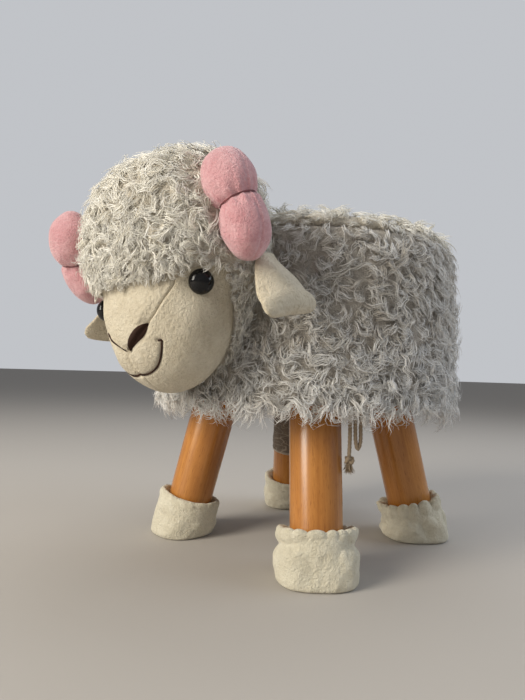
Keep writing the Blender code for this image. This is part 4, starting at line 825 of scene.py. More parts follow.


# Cap backing: the skin pushed out by the pile, thin at its edge and lumpy, flat against the drum behind, in the lit
# wool copy: painted light
def litWoolBacking(rows=46, cols=120):
    around = turns(cols)
    share = (np.linspace(0.0, 1.0, rows, endpoint=False) ** 1.15)[:, None]
    away = borderAt(around) + (math.pi - borderAt(around)) * share
    ways, edge, full = polarWay(away, around), head["capEdge"], head["capPile"] - head["capSink"]
    pile = edge + (full - edge) * np.sin(ramp(share, 0.0, 0.14) * math.pi / 2.0)
    skin = skinFrom(headCore, ways)
    outer = skin + skinNormal(skin) * (pile + lumps(skin, head["capLumpSize"], 21) * head["capLumpHeight"])[..., None]
    inner = skinFrom(headCore, ways, -head["panel"])
    tips = skinFrom(headCore, np.stack([-pole, -pole]), np.array([full, -head["panel"]]))
    points, faces = closedRings(np.concatenate([outer[::-1], inner]), *tips)
    addPiece("headCapCover", clearOfDrum(placed(points, headMatrix), coverOuter, crestTop), faces, "litWoolBacking",
             ["head_cap"])


# Stuffing: the skin moved in by the lining, a little lumpy
def headFilling():
    away = np.linspace(0.05, math.pi - 0.05, 44)[:, None]
    skin = skinFrom(headCore, polarWay(away, turns(80)), -head["lining"])
    skin = skin + skinNormal(skin) * (lumps(skin, 0.02, 31) * 0.0008)[..., None]
    points, faces = closedRings(skin)
    addPiece("headFilling", clearOfDrum(placed(points, headMatrix), coverOuter + 0.002), faces, "fibreFilling",
             ["head_stuffing"])


# Eyes: the stem's outline and a quarter ellipse, turned about the skin's normal
def addEyes():
    bottom = -0.0006
    turn = np.linspace(0.0, math.pi / 2.0, 16)
    dome = np.stack([face["eyeRadius"] * np.cos(turn), bottom + face["eyeDome"] * np.sin(turn)], axis=1)[:-1]
    outline = np.vstack([face["eyeStem"], dome])
    rings = roundAxis(outline[:, :1], turns(48), outline[:, 1:])
    points, faces = closedRings(rings, (0.0, 0.0, outline[0, 1]), (0.0, 0.0, bottom + face["eyeDome"]))
    for k, label in enumerate(("Left", "Right")):
        normal = skinNormal(eyeSpots[k][None])[0]
        basis = Matrix.Translation(eyeSpots[k] + normal * face["eyeOut"][k]) @ facing(normal)
        addPiece("eyeDome" + label, placed(placed(points, basis), headMatrix), faces, "eyeBlack",
                 ["eye_" + label.lower()])


# Satin leaves of the nose: threads laid across each leaf, each a half-round ridge
def addNose(ridges=34, perRidge=6, cols=13):
    rows = ridges * perRidge + 1
    share = np.linspace(0.0, 1.0, rows)
    low, high = (np.stack([eased(share, np.linspace(0.0, 1.0, len(face[key])), headPlace(face[key])[:, k])
                           for k in (0, 1)], axis=-1) for key in ("noseLow", "noseHigh"))
    strand = np.abs(np.sin(np.arange(rows) * math.pi / perRidge))[:, None]
    plump = np.sqrt(np.maximum(np.sin(math.pi * np.linspace(0.02, 0.98, cols)), 0.0))
    leaf, points, faces = shellFaces(rows, cols), [], []
    for near in (True, False):
        across = np.linspace(0.0, face["leaf" if near else "farLeaf"], cols)
        side = low[:, :1] + (high[:, :1] - low[:, :1]) * across
        side = side if near else 2.0 * faceMiddle - side
        skin = skinFront(side, low[:, 1:] + (high[:, 1:] - low[:, 1:]) * across)
        normal, lift = skinNormal(skin), faceRelief(skin)
        outer = skin + normal * (lift + 0.0002 + plump * (face["satin"][0] + face["satin"][1] * strand))[..., None]
        inner = skin + normal * (lift - 0.0006)[..., None]
        points += [outer.reshape(-1, 3), inner.reshape(-1, 3)]
        faces.append(leaf if near else leaf[:, ::-1] + 2 * rows * cols)
    run = np.repeat(np.arange(rows) / perRidge, cols)
    addPiece("noseLeaves", placed(np.concatenate(points), headMatrix), faces, "faceThread", ["nose_stitching"],
             uv=np.tile(np.stack([run * 0.5, 0.0 * run], axis=1), (4, 1)))


# Smile: a twisted thread along its line, half sunk in the valley
def addSmile():
    path = smoothPath(smileLine, 260)
    path = path + skinNormal(path) * (faceRelief(path) + face["thread"] * 0.75)[:, None]
    points, faces, uv = cordMesh(placed(path, headMatrix), face["thread"], 8, 2, 0.0022, 0.22)
    addPiece("smileThread", points, faces, "faceThread", ["smile_stitching"], uv=uv)


litWoolBacking()
headFilling()
addEyes()
addNose()
addSmile()

# Horns: rings round a curved centreline, drawn in and puckered at the thread
horn = {
    "radius": 0.0212, "steps": 108, "rows": 110, "cinchRing": 6, "turns": (0.0, 10.0), "leans": (0.0, 24.0),
    "shifts": ((0.0, 0.0, 0.0), (0.11, -0.01, -0.095)), "seam": (11.0, 32.0), "pucker": 0.0010,
    "cinch": 0.0021, "cinchArc": 172.0, "thread": 0.0007, "seamDepth": 0.0010, "lumpHeight": 0.00045,
    "centre": ((0.767, 0.092, 1.022), (0.799, 0.086, 0.988), (0.843, 0.079, 0.921), (0.887, 0.072, 0.838),
               (0.925, 0.071, 0.750), (0.955, 0.081, 0.667), (0.977, 0.097, 0.598), (0.990, 0.113, 0.544),
               (0.998, 0.130, 0.470), (0.994, 0.154, 0.385), (0.974, 0.173, 0.299), (0.939, 0.184, 0.237),
               (0.908, 0.190, 0.202), (0.886, 0.192, 0.178)),
    "girth": (0.0, 0.50, 0.86, 1.02, 1.05, 0.95, 0.775, 0.84, 0.93, 0.955, 0.89, 0.70, 0.44, 0.0),
}
hornLines = []


# A horn: each ring's radius is the girth, plus gathers beside the thread, less the thread's and seam's valleys
def addHorn(k, side, label):
    ring, back = horn["cinchRing"], (0.0, skullCentre[1], 0.0)
    yaw, lean = (np.array(Matrix.Rotation(rad(angle), 3, axis))
                 for angle, axis in ((horn["turns"][k], "Z"), (-horn["leans"][k], "X")))
    places = (headPlace(horn["centre"]) - back) @ yaw + back
    waist = places[ring]
    places = (places - waist) @ lean + waist
    places = (places + headPlace(horn["shifts"][k])) * (side, 1.0, 1.0)
    stopsAt = runAlong(places)
    t = easedShares(horn["rows"]) * stopsAt[-1]
    line = np.stack([eased(t, stopsAt, places[:, c]) for c in range(3)], axis=1)
    squared = eased(t, stopsAt, np.array(horn["girth"]) ** 2)  # squares of the girths ease into the round ends
    girth = horn["radius"] * np.sqrt(np.maximum(squared, 0.0))
    tangent = unit(np.gradient(line, axis=0))
    outward = unit(np.array([side, 0.0, 0.0]) - tangent * (tangent[:, :1] * side))
    forward = np.cross(tangent, outward)
    turn = turns(horn["steps"])
    fromCinch = (t - stopsAt[ring])[:, None]
    gather = np.sin(11 * turn + 1.3 * np.sin(2 * turn + k))[None] * bell(np.abs(fromCinch) - 0.0035, 0.0045)
    radius = girth[:, None] + horn["pucker"] * 0.8 * gather - horn["cinch"] * bell(fromCinch, 0.0016)
    seamTurn = (turn[None] - rad(horn["seam"][k]) + math.pi) % fullTurn - math.pi
    seam = horn["seamDepth"] * bell(seamTurn * horn["radius"], 0.0013)
    radius = radius - seam * np.clip(girth / 0.01 - 0.3, 0.0, 1.0)[:, None]  # it fades out at both ends
    rings = line[:, None] + radius[..., None] * ringWays(outward, forward, turn)
    rings = rings + unit(rings - line[:, None]) * (lumps(rings, 0.02, 40 + k) * horn["lumpHeight"])[..., None]
    points, faces = closedRings(rings[1:-1], line[0], line[-1])
    addPiece("horn" + label, placed(points, headMatrix), faces, "pinkVelour", ["horn_" + label.lower()])
    at = int(np.argmin(np.abs(fromCinch[:, 0])))
    arc = np.linspace(-rad(horn["cinchArc"]), rad(horn["cinchArc"]), 150)
    reach = girth[at] - horn["cinch"] + horn["thread"] * 1.1
    path = line[at] + reach * ringWays(outward[at], forward[at], arc)
    points, faces, uv = cordMesh(placed(path, headMatrix), horn["thread"], 8, 2, 0.002, 0.2)
    addPiece("hornThread" + label, points, faces, "cinchThread", ["horn_cinch_" + label.lower()], uv=uv)
    hornLines.append((placed(line, headMatrix), girth))


addHorn(0, 1.0, "Left")
addHorn(1, -1.0, "Right")
print("horns made")

# Ears: cupped paddles that hang from the hinge line along their root seams
ear = {
    "length": 0.059, "width": 0.058, "thickness": 0.0105, "bead": 0.0038,
    "roots": ((0.86, 0.49, 0.29), (0.86, 0.50, 0.245)), "lifts": (26.0, 42.0), "leans": (-6.0, -8.0),
    "turns": (-13.0, 12.5), "bend": 0.05, "cup": 0.03, "ridge": 0.0052, "tip": 0.0036, "corner": 0.0078,
    "belly": 0.0036,
    "steps": 96, "rows": 84, "lumpHeight": 0.0005,
    "spread": ((0.0, 0.40, 0.40), (0.03, 0.41, 0.60), (0.08, 0.44, 0.70), (0.17, 0.52, 0.66), (0.30, 0.66, 0.72),
               (0.45, 0.81, 0.84), (0.60, 0.92, 0.97), (0.74, 0.99, 1.0), (0.86, 1.0, 0.94), (0.94, 0.90, 0.78),
               (0.985, 0.66, 0.52), (1.0, 0.0, 0.0)),
}


# An ear: flattened rings down from its root, their half width and thickness read from the table
def addEar(k, side, label):
    mirror = np.array([side, 1.0, 1.0])
    length, half = ear["length"], ear["width"] / 2.0
    lift, lean, yaw = rad(ear["lifts"][k]), rad(ear["leans"][k]), rad(ear["turns"][k])
    aim = unit(headPlace(ear["roots"][k]) * mirror - headCore)[None]
    root = skinFrom(headCore, aim, head["capPile"] + ear["bead"] * 0.25)[0]
    down = np.array([math.sin(lift) * math.cos(lean), math.sin(lift) * math.sin(lean), -math.cos(lift)])
    axis = unit(np.array([0.0, 1.0, 0.0]) - down * down[1])
    axis = (axis * math.cos(yaw) + np.cross(axis, down) * math.sin(yaw)) * mirror
    z = Vector(tuple(-down * mirror)).normalized()
    x = (Vector(tuple(axis)) - z * Vector(tuple(axis)).dot(z)).normalized()
    basis = headMatrix @ Matrix.Translation(root) @ Matrix((x, z.cross(x), z)).transposed().to_4x4()
    table = np.array(ear["spread"])
    t = easedShares(ear["rows"])[:, None]
    wide, thick = (np.sqrt(np.maximum(eased(t, table[:, 0], table[:, c] ** 2), 0.0)) * ear[key] / 2.0
                   for c, key in ((1, "width"), (2, "thickness")))
    c, s = np.cos(turns(ear["steps"]))[None], np.sin(turns(ear["steps"]))[None]
    bend = -length * ear["bend"] * np.sin(math.pi * t) * side
    cup = -length * ear["cup"] * np.sin(math.pi * t ** 0.8) * side
    rim = 1.0 - 0.05 * bell(s, 0.11)  # the seam round the edge is drawn in a little
    # a ridge runs down from the root's front and the tip swells outwards
    ridge = 1.0 - 1.3 * np.sqrt((c - (-0.75 + 0.95 * t)) ** 2 + 0.02)
    tip = smooth(ramp(t, 0.60, 0.20)) * np.clip((1.0 - t) / 0.06, 0.0, 1.0) ** 0.5
    fold = ear["ridge"] * ridge * np.sin(math.pi * ramp(t, 0.0, 0.9)) ** 0.7 * (1.0 - 0.7 * tip) + ear["tip"] * tip
    y = thick * np.sign(s) * np.abs(s) ** 0.86 + bend + cup * s ** 2 - side * fold
    rings = np.stack(np.broadcast_arrays(wide * c * rim, y, -length * t + ear["bead"] * (1.0 - t)), axis=-1)
    rings[..., 1] += lumps(rings + side, 0.022, 50 + k) * ear["lumpHeight"] * np.sin(math.pi * t)
    # the rear edge bellies out, and the front corner of the tip hangs lower than the rear one
    rings[..., 0] += ear["belly"] * np.maximum(c, 0.0) * bell(t - 0.34, 0.20)
    rings[..., 2] += ear["corner"] * np.minimum(rings[..., 0] / half, 0.0) * smooth(ramp(t, 0.25, 0.55))
    points, faces = closedRings(rings[:-1], None, (0.0, 0.0, -length))
    addPiece("ear" + label, placed(points, basis), faces, "creamVelour", ["ear_" + label.lower()],
             label.lower() + "_ear")


addEar(0, 1.0, "Left")
addEar(1, -1.0, "Right")
print("ears made")

# Legs and what they wear, in each leg's own space: Z up along the leg, X outwards
leg = {
    "edgeInset": 0.01625, "splay": 13.6, "topDiameter": 0.0510, "footDiameter": 0.0485, "sole": 0.0042, "steps": 72,
    "corners": {"front_left": -45.0, "rear_left": 45.0, "rear_right": 135.0, "front_right": -135.0},
}
clearance, splay = drum["clearance"], rad(leg["splay"])
legRing = drum["boardRadius"] - leg["edgeInset"] - leg["topDiameter"] / 2.0 / math.cos(splay)
footRing = legRing + clearance * math.tan(splay)


def legFrame(angle, radius, height):
    place = Matrix.Translation((radius * math.cos(angle), radius * math.sin(angle) + axisY, height))
    return place @ Euler((0.0, -splay, angle)).to_matrix().to_4x4()


def legRadiusAt(down):
    share = down * math.cos(splay) / clearance
    return (leg["topDiameter"] + (leg["footDiameter"] - leg["topDiameter"]) * share) / 2.0


# Rings round a leg's axis that lie level on the floor: each point is lowered by the splay as it goes outwards
def levelRings(radius, turn, up, lean=1.0):
    return roundAxis(radius, turn, up - radius * np.cos(turn) * math.tan(splay) * lean)


def camelCorner(name):
    return "".join(word.capitalize() for word in name.split("_"))


# A leg: rings from the tapering radius, cut level at the floor and under the board
def addLeg(name, angle, seed):
    levels = [leg["sole"] + drum["gap"], *np.linspace(leg["sole"] + 0.0012, clearance - 0.0011, 18),
              clearance - drum["gap"]]
    axial = (np.array(levels)[:, None] - clearance) / math.cos(splay)
    turn = turns(leg["steps"])
    radius = legRadiusAt(-axial) + 0.0 * turn
    radius[[0, -1]] -= 0.0008  # both ends are broken by a small chamfer
    points, faces = closedRings(levelRings(radius, turn, axial))
    addPiece("leg" + camelCorner(name), placed(points, legFrame(angle, legRing, clearance)), faces, "beech",
             ["leg_" + name], space=points + np.array([0.13, 0.21, 0.37]) * seed)


# Booties: a bag of fleece gathered on its elastic, its wall a table of (radius, height) shares with folds added
bootie = {
    "radius": 0.0395, "height": 0.0445, "steps": 168, "rows": 70, "cuffShare": 0.695, "level": (0.10, 0.58),
    "power": 2.7, "pinch": 0.0024, "lift": 0.0026, "crease": 0.0004, "elastic": 0.0346,
    "sag": 0.0011, "wave": 0.0012, "flutter": 0.0014, "ease": 0.0004,
    "outer": ((0.60, 0.0), (0.80, 0.0), (0.885, 0.012), (0.935, 0.045), (0.965, 0.11), (0.990, 0.22), (1.005, 0.34),
              (0.995, 0.46), (0.955, 0.57), (0.885, 0.655), (0.855, 0.695), (0.870, 0.725), (0.915, 0.79),
              (0.940, 0.87), (0.930, 0.955), (0.87, 1.0), (0.79, 0.985), (0.715, 0.93)),
    # looks: gathers, their depth, size, swelling, roll of the ruffle, depth and turn of the footprint, heel
    "looks": {
        "front_left": (16, 1.1, 1.0, 1.0, 1.0, 0.84, 0.0, 0.001),
        "rear_left": (17, 2.6, 0.96, 1.2, 1.0, 0.95, 0.0, 0.0070),
        "rear_right": (12, 0.4, 0.95, 0.5, 0.7, 0.92, 0.0, 0.002),
        "front_right": (11, 0.30, 0.93, 0.8, 0.7, 0.94, 38.0, 0.0)},
}


def addBootie(name, angle, seed):
    gathers, depth, size, swell, roll, deep, askew, heel = bootie["looks"][name]
    draw = np.random.default_rng(100 + seed)
    height, power, rows = bootie["height"], bootie["power"], bootie["rows"]
    turn = turns(bootie["steps"])

    def wave(count):
        return np.sin(count * turn + draw.uniform(0, 6))

    table = np.array(bootie["outer"])
    run = runAlong(table)
    fine = np.linspace(0.0, run[-1], rows)
    r = eased(fine, run, table[:, 0])[:, None] * bootie["radius"]
    h = eased(fine, run, table[:, 1])[:, None] * height
    share = h / height
    # footprint: a rounded oblong, round again at the ruffle
    a, b = np.abs(np.cos(turn - rad(askew))) / deep, np.abs(np.sin(turn - rad(askew)))
    oblong = (a ** power + b ** power) ** (-1.0 / power)
    r = r * size * (1.0 + (oblong / oblong.max() - 1.0) * np.clip(1.25 - share, 0.25, 1.0))
    warped = turn + 0.09 * wave(2) + 0.06 * wave(5)
    knobs = (np.abs(np.sin(gathers * warped / 2.0)) ** 0.6 - 0.50) * (0.85 + 0.3 * wave(3))
    row = np.arange(rows)[:, None]
    fold = np.where(row < rows - 12, bell(share - 0.74, 0.22), 0.8)
    ruffle = ramp(share, 0.74, 0.22) * (r > bootie["radius"] * 0.7)
    r = r + depth * bootie["pinch"] * knobs * fold
    sag = 0.5 * wave(2) + 0.6 * wave(3)
    r = r + swell * bootie["sag"] * bell(share - 0.34, 0.26) * sag
    r = r + bootie["wave"] * roll * ruffle * wave(3)
    r = r + heel * np.clip(-np.cos(turn), 0.0, 1.0) ** 1.5 * bell(share - 0.10, 0.22)  # slumped towards the middle
    r = r + depth * 0.0007 * np.sin(gathers * 0.5 * warped + 4.0 * share) * bell(share - 0.46, 0.22)
    around = roundAxis(1.0, turn, share * 1.1)
    upward = ramp(share, 0.0, 0.1)
    r = r + (lumps(around, 0.62, 60 + seed) * 0.0009 + lumps(around, 0.23, 70 + seed) * 0.0004) * upward
    crease = bell(lumps(around * (1.0, 1.0, 0.7), 1.1, 90 + seed), 0.22)
    crease = crease + 0.5 * bell(lumps(around, 0.7, 95 + seed), 0.2)
    r = r - bootie["crease"] * crease * upward * bell(share - 0.35, 0.32)
    # the fleece stays over its elastic
    near = smooth((row < rows - 10) * np.clip((0.22 - np.abs(share - bootie["cuffShare"])) / 0.12, 0.0, 1.0))
    r = r + np.maximum(bootie["elastic"] - r, 0.0) * near
    h = h + ruffle * (bootie["lift"] * depth * knobs + bootie["flutter"] * roll * wave(2))
    # down inside the cuff along the leg, then to the sole
    foot = clearance / math.cos(splay)
    bore = legRadiusAt(foot - height) + bootie["ease"]
    r[-3:] = np.maximum(r[-3:], bore + 0.0012)
    down = np.array([(bore + 0.0006, 0.90), (bore, 0.80), (bore - 0.0002, 0.60), (bore - 0.0004, 0.30)])
    r = np.vstack([r, down[:, :1] + 0.0 * turn])
    h = np.vstack([h, down[:, 1:] * height + 0.0 * turn])
    low, high = bootie["level"]
    lean = 1.0 - ramp(h / height, low, high - low)
    lean = np.where(r > bore * 1.02, smooth(lean), 0.0)
    rings = levelRings(r, turn, h + (h / math.cos(splay) - h) * lean, lean)
    last = levelRings(legRadiusAt(foot) + bootie["ease"], turn, leg["sole"] / math.cos(splay))
    points, faces = closedRings(np.concatenate([rings, last[None]]))
    points = placed(points, legFrame(angle, footRing, 0.0))
    points[:, 2] = np.maximum(points[:, 2], 0.0)
    addPiece("bootie" + camelCorner(name), points, faces, "bootieFleece", ["bootie_" + name])


# Crinkled sleeve: a tube round the leg with diagonal creases and a rolled foot
sleeve = {
    "foot": 0.082, "belowHem": 0.0050, "channel": 0.0043, "wall": 0.0006, "crinkle": 0.0012, "steps": 96, "rows": 48,
    "rolls": ((0.03, 0.02, 0.0006), (0.12, 0.012, 0.0005), (0.19, 0.012, 0.0004)),  # place, width and rise
}


# Its lift is the sum of two sets of sharp creases and the rolls near its foot
def addSleeve(angle):
    foot, rows = clearance / math.cos(splay), sleeve["rows"]
    high = (clearance - drum["gap"] - 2.0 * sleeve["channel"] - sleeve["belowHem"]) / math.cos(splay)
    low = sleeve["foot"] / math.cos(splay)
    share, turn = np.linspace(0.0, 1.0, rows)[:, None], turns(sleeve["steps"])
    up = low + (high - low) * share
    bore = legRadiusAt(foot - up) + 0.0004 + 0.0 * turn
    space = roundAxis(1.0, turn, share * 3.0 + 0.5 * np.sin(turn))
    lift = sum(part * (1.0 - np.abs(lumps(space * (1.0, 1.0, squeeze), size, seed)) ** 0.7)
               for part, squeeze, size, seed in ((0.55, 1.0, 0.9, 81), (0.45, 2.4, 0.55, 82))) * sleeve["crinkle"]
    for place, width, rise in sleeve["rolls"]:
        lift = lift + rise * bell(share - place, width)
    lift = np.maximum(lift, 0.0)
    rings = [roundAxis(r, turn, up) for r in (bore + sleeve["wall"] + lift, bore + lift * 0.5)]
    upShare = np.concatenate([share, share[::-1]])
    uv = np.stack(np.broadcast_arrays(turn / fullTurn, upShare), axis=-1).reshape(-1, 2)
    piece = addPiece("legSleeve", placed(np.concatenate([rings[0], rings[1][::-1]]), legFrame(angle, footRing, 0.0)),
                     [gridFaces(2 * rows, sleeve["steps"], True, True)], "greySleeve", ["leg_sleeve"], uv=uv)


for number, (cornerName, cornerAngle) in enumerate(leg["corners"].items()):
    addLeg(cornerName, rad(cornerAngle), number)
    addBootie(cornerName, rad(cornerAngle), number)
addSleeve(rad(leg["corners"]["rear_right"]))
print("legs and booties made")

# Hem and drawstring under the drum
hem = {
    "cordDiameter": 0.0040, "play": 0.0010, "wall": 0.0013, "clearOfLeg": 0.0065, "exitAngle": -31.3, "exitHalf": 5.0,
    "tailDrop": 0.060, "loopDrop": 0.053, "sideStep": 0.0050, "gathers": 58, "gatherDepth": 0.0011, "cloth": 0.0011,
    "loop": ((0.95, 0.16, 0.0), (0.90, 0.36, 0.1), (0.95, 0.62, 0.25), (1.05, 0.86, 0.3), (1.50, 1.0, 0.3),
             (2.02, 0.88, 0.3), (2.05, 0.62, 0.25), (2.0, 0.34, 0.15), (1.98, 0.12, 0.0)),
    "tail": ((-1.35, 0.09, 0.0), (-0.55, 0.24, 0.2), (-0.20, 0.46, 0.3), (-0.10, 0.73, 0.2), (-0.15, 1.0, 0.1)),
}
cordRadius = hem["cordDiameter"] / 2.0
channelInner = cordRadius + hem["play"]
channelOuter = channelInner + hem["wall"]
hemTop = clearance - drum["gap"]
channelRing = legRing + leg["topDiameter"] / 2.0 / math.cos(splay) + hem["clearOfLeg"] + channelOuter * math.tan(splay)
channelHeight = hemTop - channelOuter
exitAngle, exitHalf = rad(hem["exitAngle"]), rad(hem["exitHalf"])


# Hem cloth: a flat ring gathered into radial folds, then rolled round the cord; it opens where the cord comes out
def addHem(steps=320, flatRows=12, rollRows=20):
    turn, cloth = turns(steps)[None], hem["cloth"]
    folds = hem["gathers"] * (turn + 0.05 * np.sin(7 * turn) + 0.04 * np.sin(11 * turn + 2.0))
    q = np.linspace(0.0, 1.0, flatRows)[:, None]
    flatR = coverInner - drum["gap"] + (channelRing - coverInner + drum["gap"]) * q + 0.0 * turn
    flatZ = hemTop - 0.0024 + hem["gatherDepth"] * (0.25 + 0.75 * q) * np.sin(folds) * 0.8
    flatZ = np.minimum(flatZ, hemTop - cloth / 2.0)
    nearExit = bell(((turn - exitAngle + math.pi) % fullTurn - math.pi), exitHalf * 0.9)
    bend = math.pi / 2.0 + (rad(300.0) - rad(185.0) * nearExit) * np.linspace(0.0, 1.0, rollRows)[1:, None]
    rollRadius = (channelInner + channelOuter) / 2.0 + 0.0004 * np.sin(folds + 1.0)
    rollR, rollZ = channelRing + rollRadius * np.cos(bend), channelHeight + rollRadius * np.sin(bend)
    flatZ = flatZ + (rollZ[:1] - flatZ[-1:]) * bell(1.0 - q, 0.18)
    middle = np.stack([np.vstack([flatR, rollR]), np.vstack([flatZ, rollZ])], axis=-1)
    way = unit(np.gradient(middle, axis=0))
    normal = np.stack([-way[..., 1], way[..., 0]], axis=-1)
    both = np.concatenate([middle + normal * cloth / 2.0, (middle - normal * cloth / 2.0)[::-1]])
    points = roundAxis(both[..., 0], turn, np.minimum(both[..., 1], hemTop), axisY)
    piece = addPiece("gatheredHem", points, [gridFaces(len(points), steps, True, True)], "shadedWoolBacking", ["cover_hem"])


def onChannel(angle):
    return roundAxis(channelRing, np.asarray(angle), channelHeight, axisY)


exitOut = np.array([math.cos(exitAngle), math.sin(exitAngle), 0.0])
exitSide = np.array([-exitOut[1], exitOut[0], 0.0])
exitBase = onChannel(exitAngle) - exitOut * channelInner * 0.5


# Places of a hanging cord: steps aside and out from where it leaves the hem, and a drop
def hang(places, drop):
    return [exitBase + (exitSide * aside + exitOut * out) * hem["sideStep"] - (0.0, 0.0, drop * down)
            for aside, down, out in places]


def addDrawstring():
    lead = exitHalf * 0.9
    ring = onChannel(np.linspace(exitAngle + lead, exitAngle + fullTurn - lead, 560))
    loop = smoothPath([*hang(hem["loop"], hem["loopDrop"]), ring[0], ring[9]], 130)[:-14]
    tail = smoothPath([ring[-10], ring[-1], *hang(hem["tail"], hem["tailDrop"])], 90)[12:]
    for name, path, farEnd in (("drawstringInHem", ring, None), ("drawstringLoop", loop[::-1], "object"),
                               ("drawstringTail", tail, "knot")):
        points, faces, uv = cordMesh(path, cordRadius, 12, 3, 0.011, 0.20)
        piece = addPiece(name, points, faces, "beigeCord", () if farEnd else ["drawstring"], uv=uv)
        if farEnd:
            knots = addKnot(path[-1]) if farEnd == "knot" else []


# Overhand knot: a trefoil pulled tight, with a frayed tuft of yarn ends below
knot = {
    "size": 0.00155, "thread": 0.0019, "drop": 0.0034, "tuftDrop": 0.0058, "hairs": 150, "hair": 0.00030,
    "hairLength": (0.006, 0.0105), "fray": 0.0040,
}


def addKnot(top):
    t = turns(120)
    trefoil = np.stack([np.sin(t) + 2.0 * np.sin(2 * t), np.cos(t) - 2.0 * np.cos(2 * t), -1.1 * np.sin(3 * t)],
                       axis=1)
    path = trefoil * knot["size"] * (0.75, 0.75, 1.15) + top - (0.0, 0.0, knot["drop"])
    points, faces, uv = cordMesh(path, knot["thread"], 10, 3, 0.008, 0.2, True)
    tied = addPiece("drawstringKnot", points, faces, "beigeCord", ["drawstring_knot"], uv=uv)
    draw = np.random.default_rng(9)
    count, rows, sides = knot["hairs"], 6, 3
    spread = draw.normal(size=(count, 3)) * (0.0011, 0.0011, 0.0003)
    out = unit(draw.normal(size=(count, 3)) * (1.0, 1.0, 0.0))
    s = np.linspace(0.0, 1.0, rows)[None, :, None]
    length = draw.uniform(*knot["hairLength"], (count, 1, 1))
    line = (top - np.array([0.0, 0.0, knot["tuftDrop"]]) + spread[:, None] - np.array([0.0, 0.0, 1.0]) * length * s
            + out[:, None] * (knot["fray"] * s ** 1.3 * draw.uniform(0.2, 1.2, (count, 1, 1))))
    rings = line[:, :, None] + roundAxis(1.0, turns(sides), 0.0) * (knot["hair"] * (1.0 - 0.6 * s))[..., None]
    points = strandPoints(rings, line[:, 0], line[:, -1]).reshape(-1, 3)
    tuft = addPiece("drawstringTuft", points, strandFaces(count, rows, sides), "beigeCord",
                    uv=np.tile([[0.2, 0.0]], (len(points), 1)))
    return [tied, tuft]


addHem()
addDrawstring()
print("hem and drawstring made")

# Wool curls: tapering strands grow in locks; each lock rises, winds to one side and lies over, its strands
# drawing together towards their tips. A strand's path is the running sum of its direction
fur = {
    "steps": 6, "sides": 3, "strands": 8, "spread": 0.0036, "drawn": 0.72, "sink": 0.0022, "thin": 0.00022,
    "thick": 0.00040, "core": (0.0005, 0.0008), "coreFlat": 0.50, "girth": (0.95, 1.0, 0.92, 0.76, 0.48),
    "rise": (40.0, 72.0), "fall": (-48.0, -8.0), "wind": (0.5, 2.8), "swing": (0.5, 1.1), "waves": (0.9, 1.4),
    "length": (0.0165, 0.0280), "perPiece": 6200, "topLocks": 1130, "sideLocks": 3600, "capLocks": 2360,
    "toneSpan": 0.03, "eyeClear": 0.0185, "slant": 0.55, "footLonger": 0.34, "seamShorter": 0.26, "edgeShorter": 0.50,
    "behindShorter": 0.45, "seamSwirl": 2.6, "tone": 0.40, "lowLocksLit": 0.38, "tonePatch": 0.22, "topLocksLit": 0.55,
    "capLocksLit": 0.86, "toneSpread": 0.22,
}


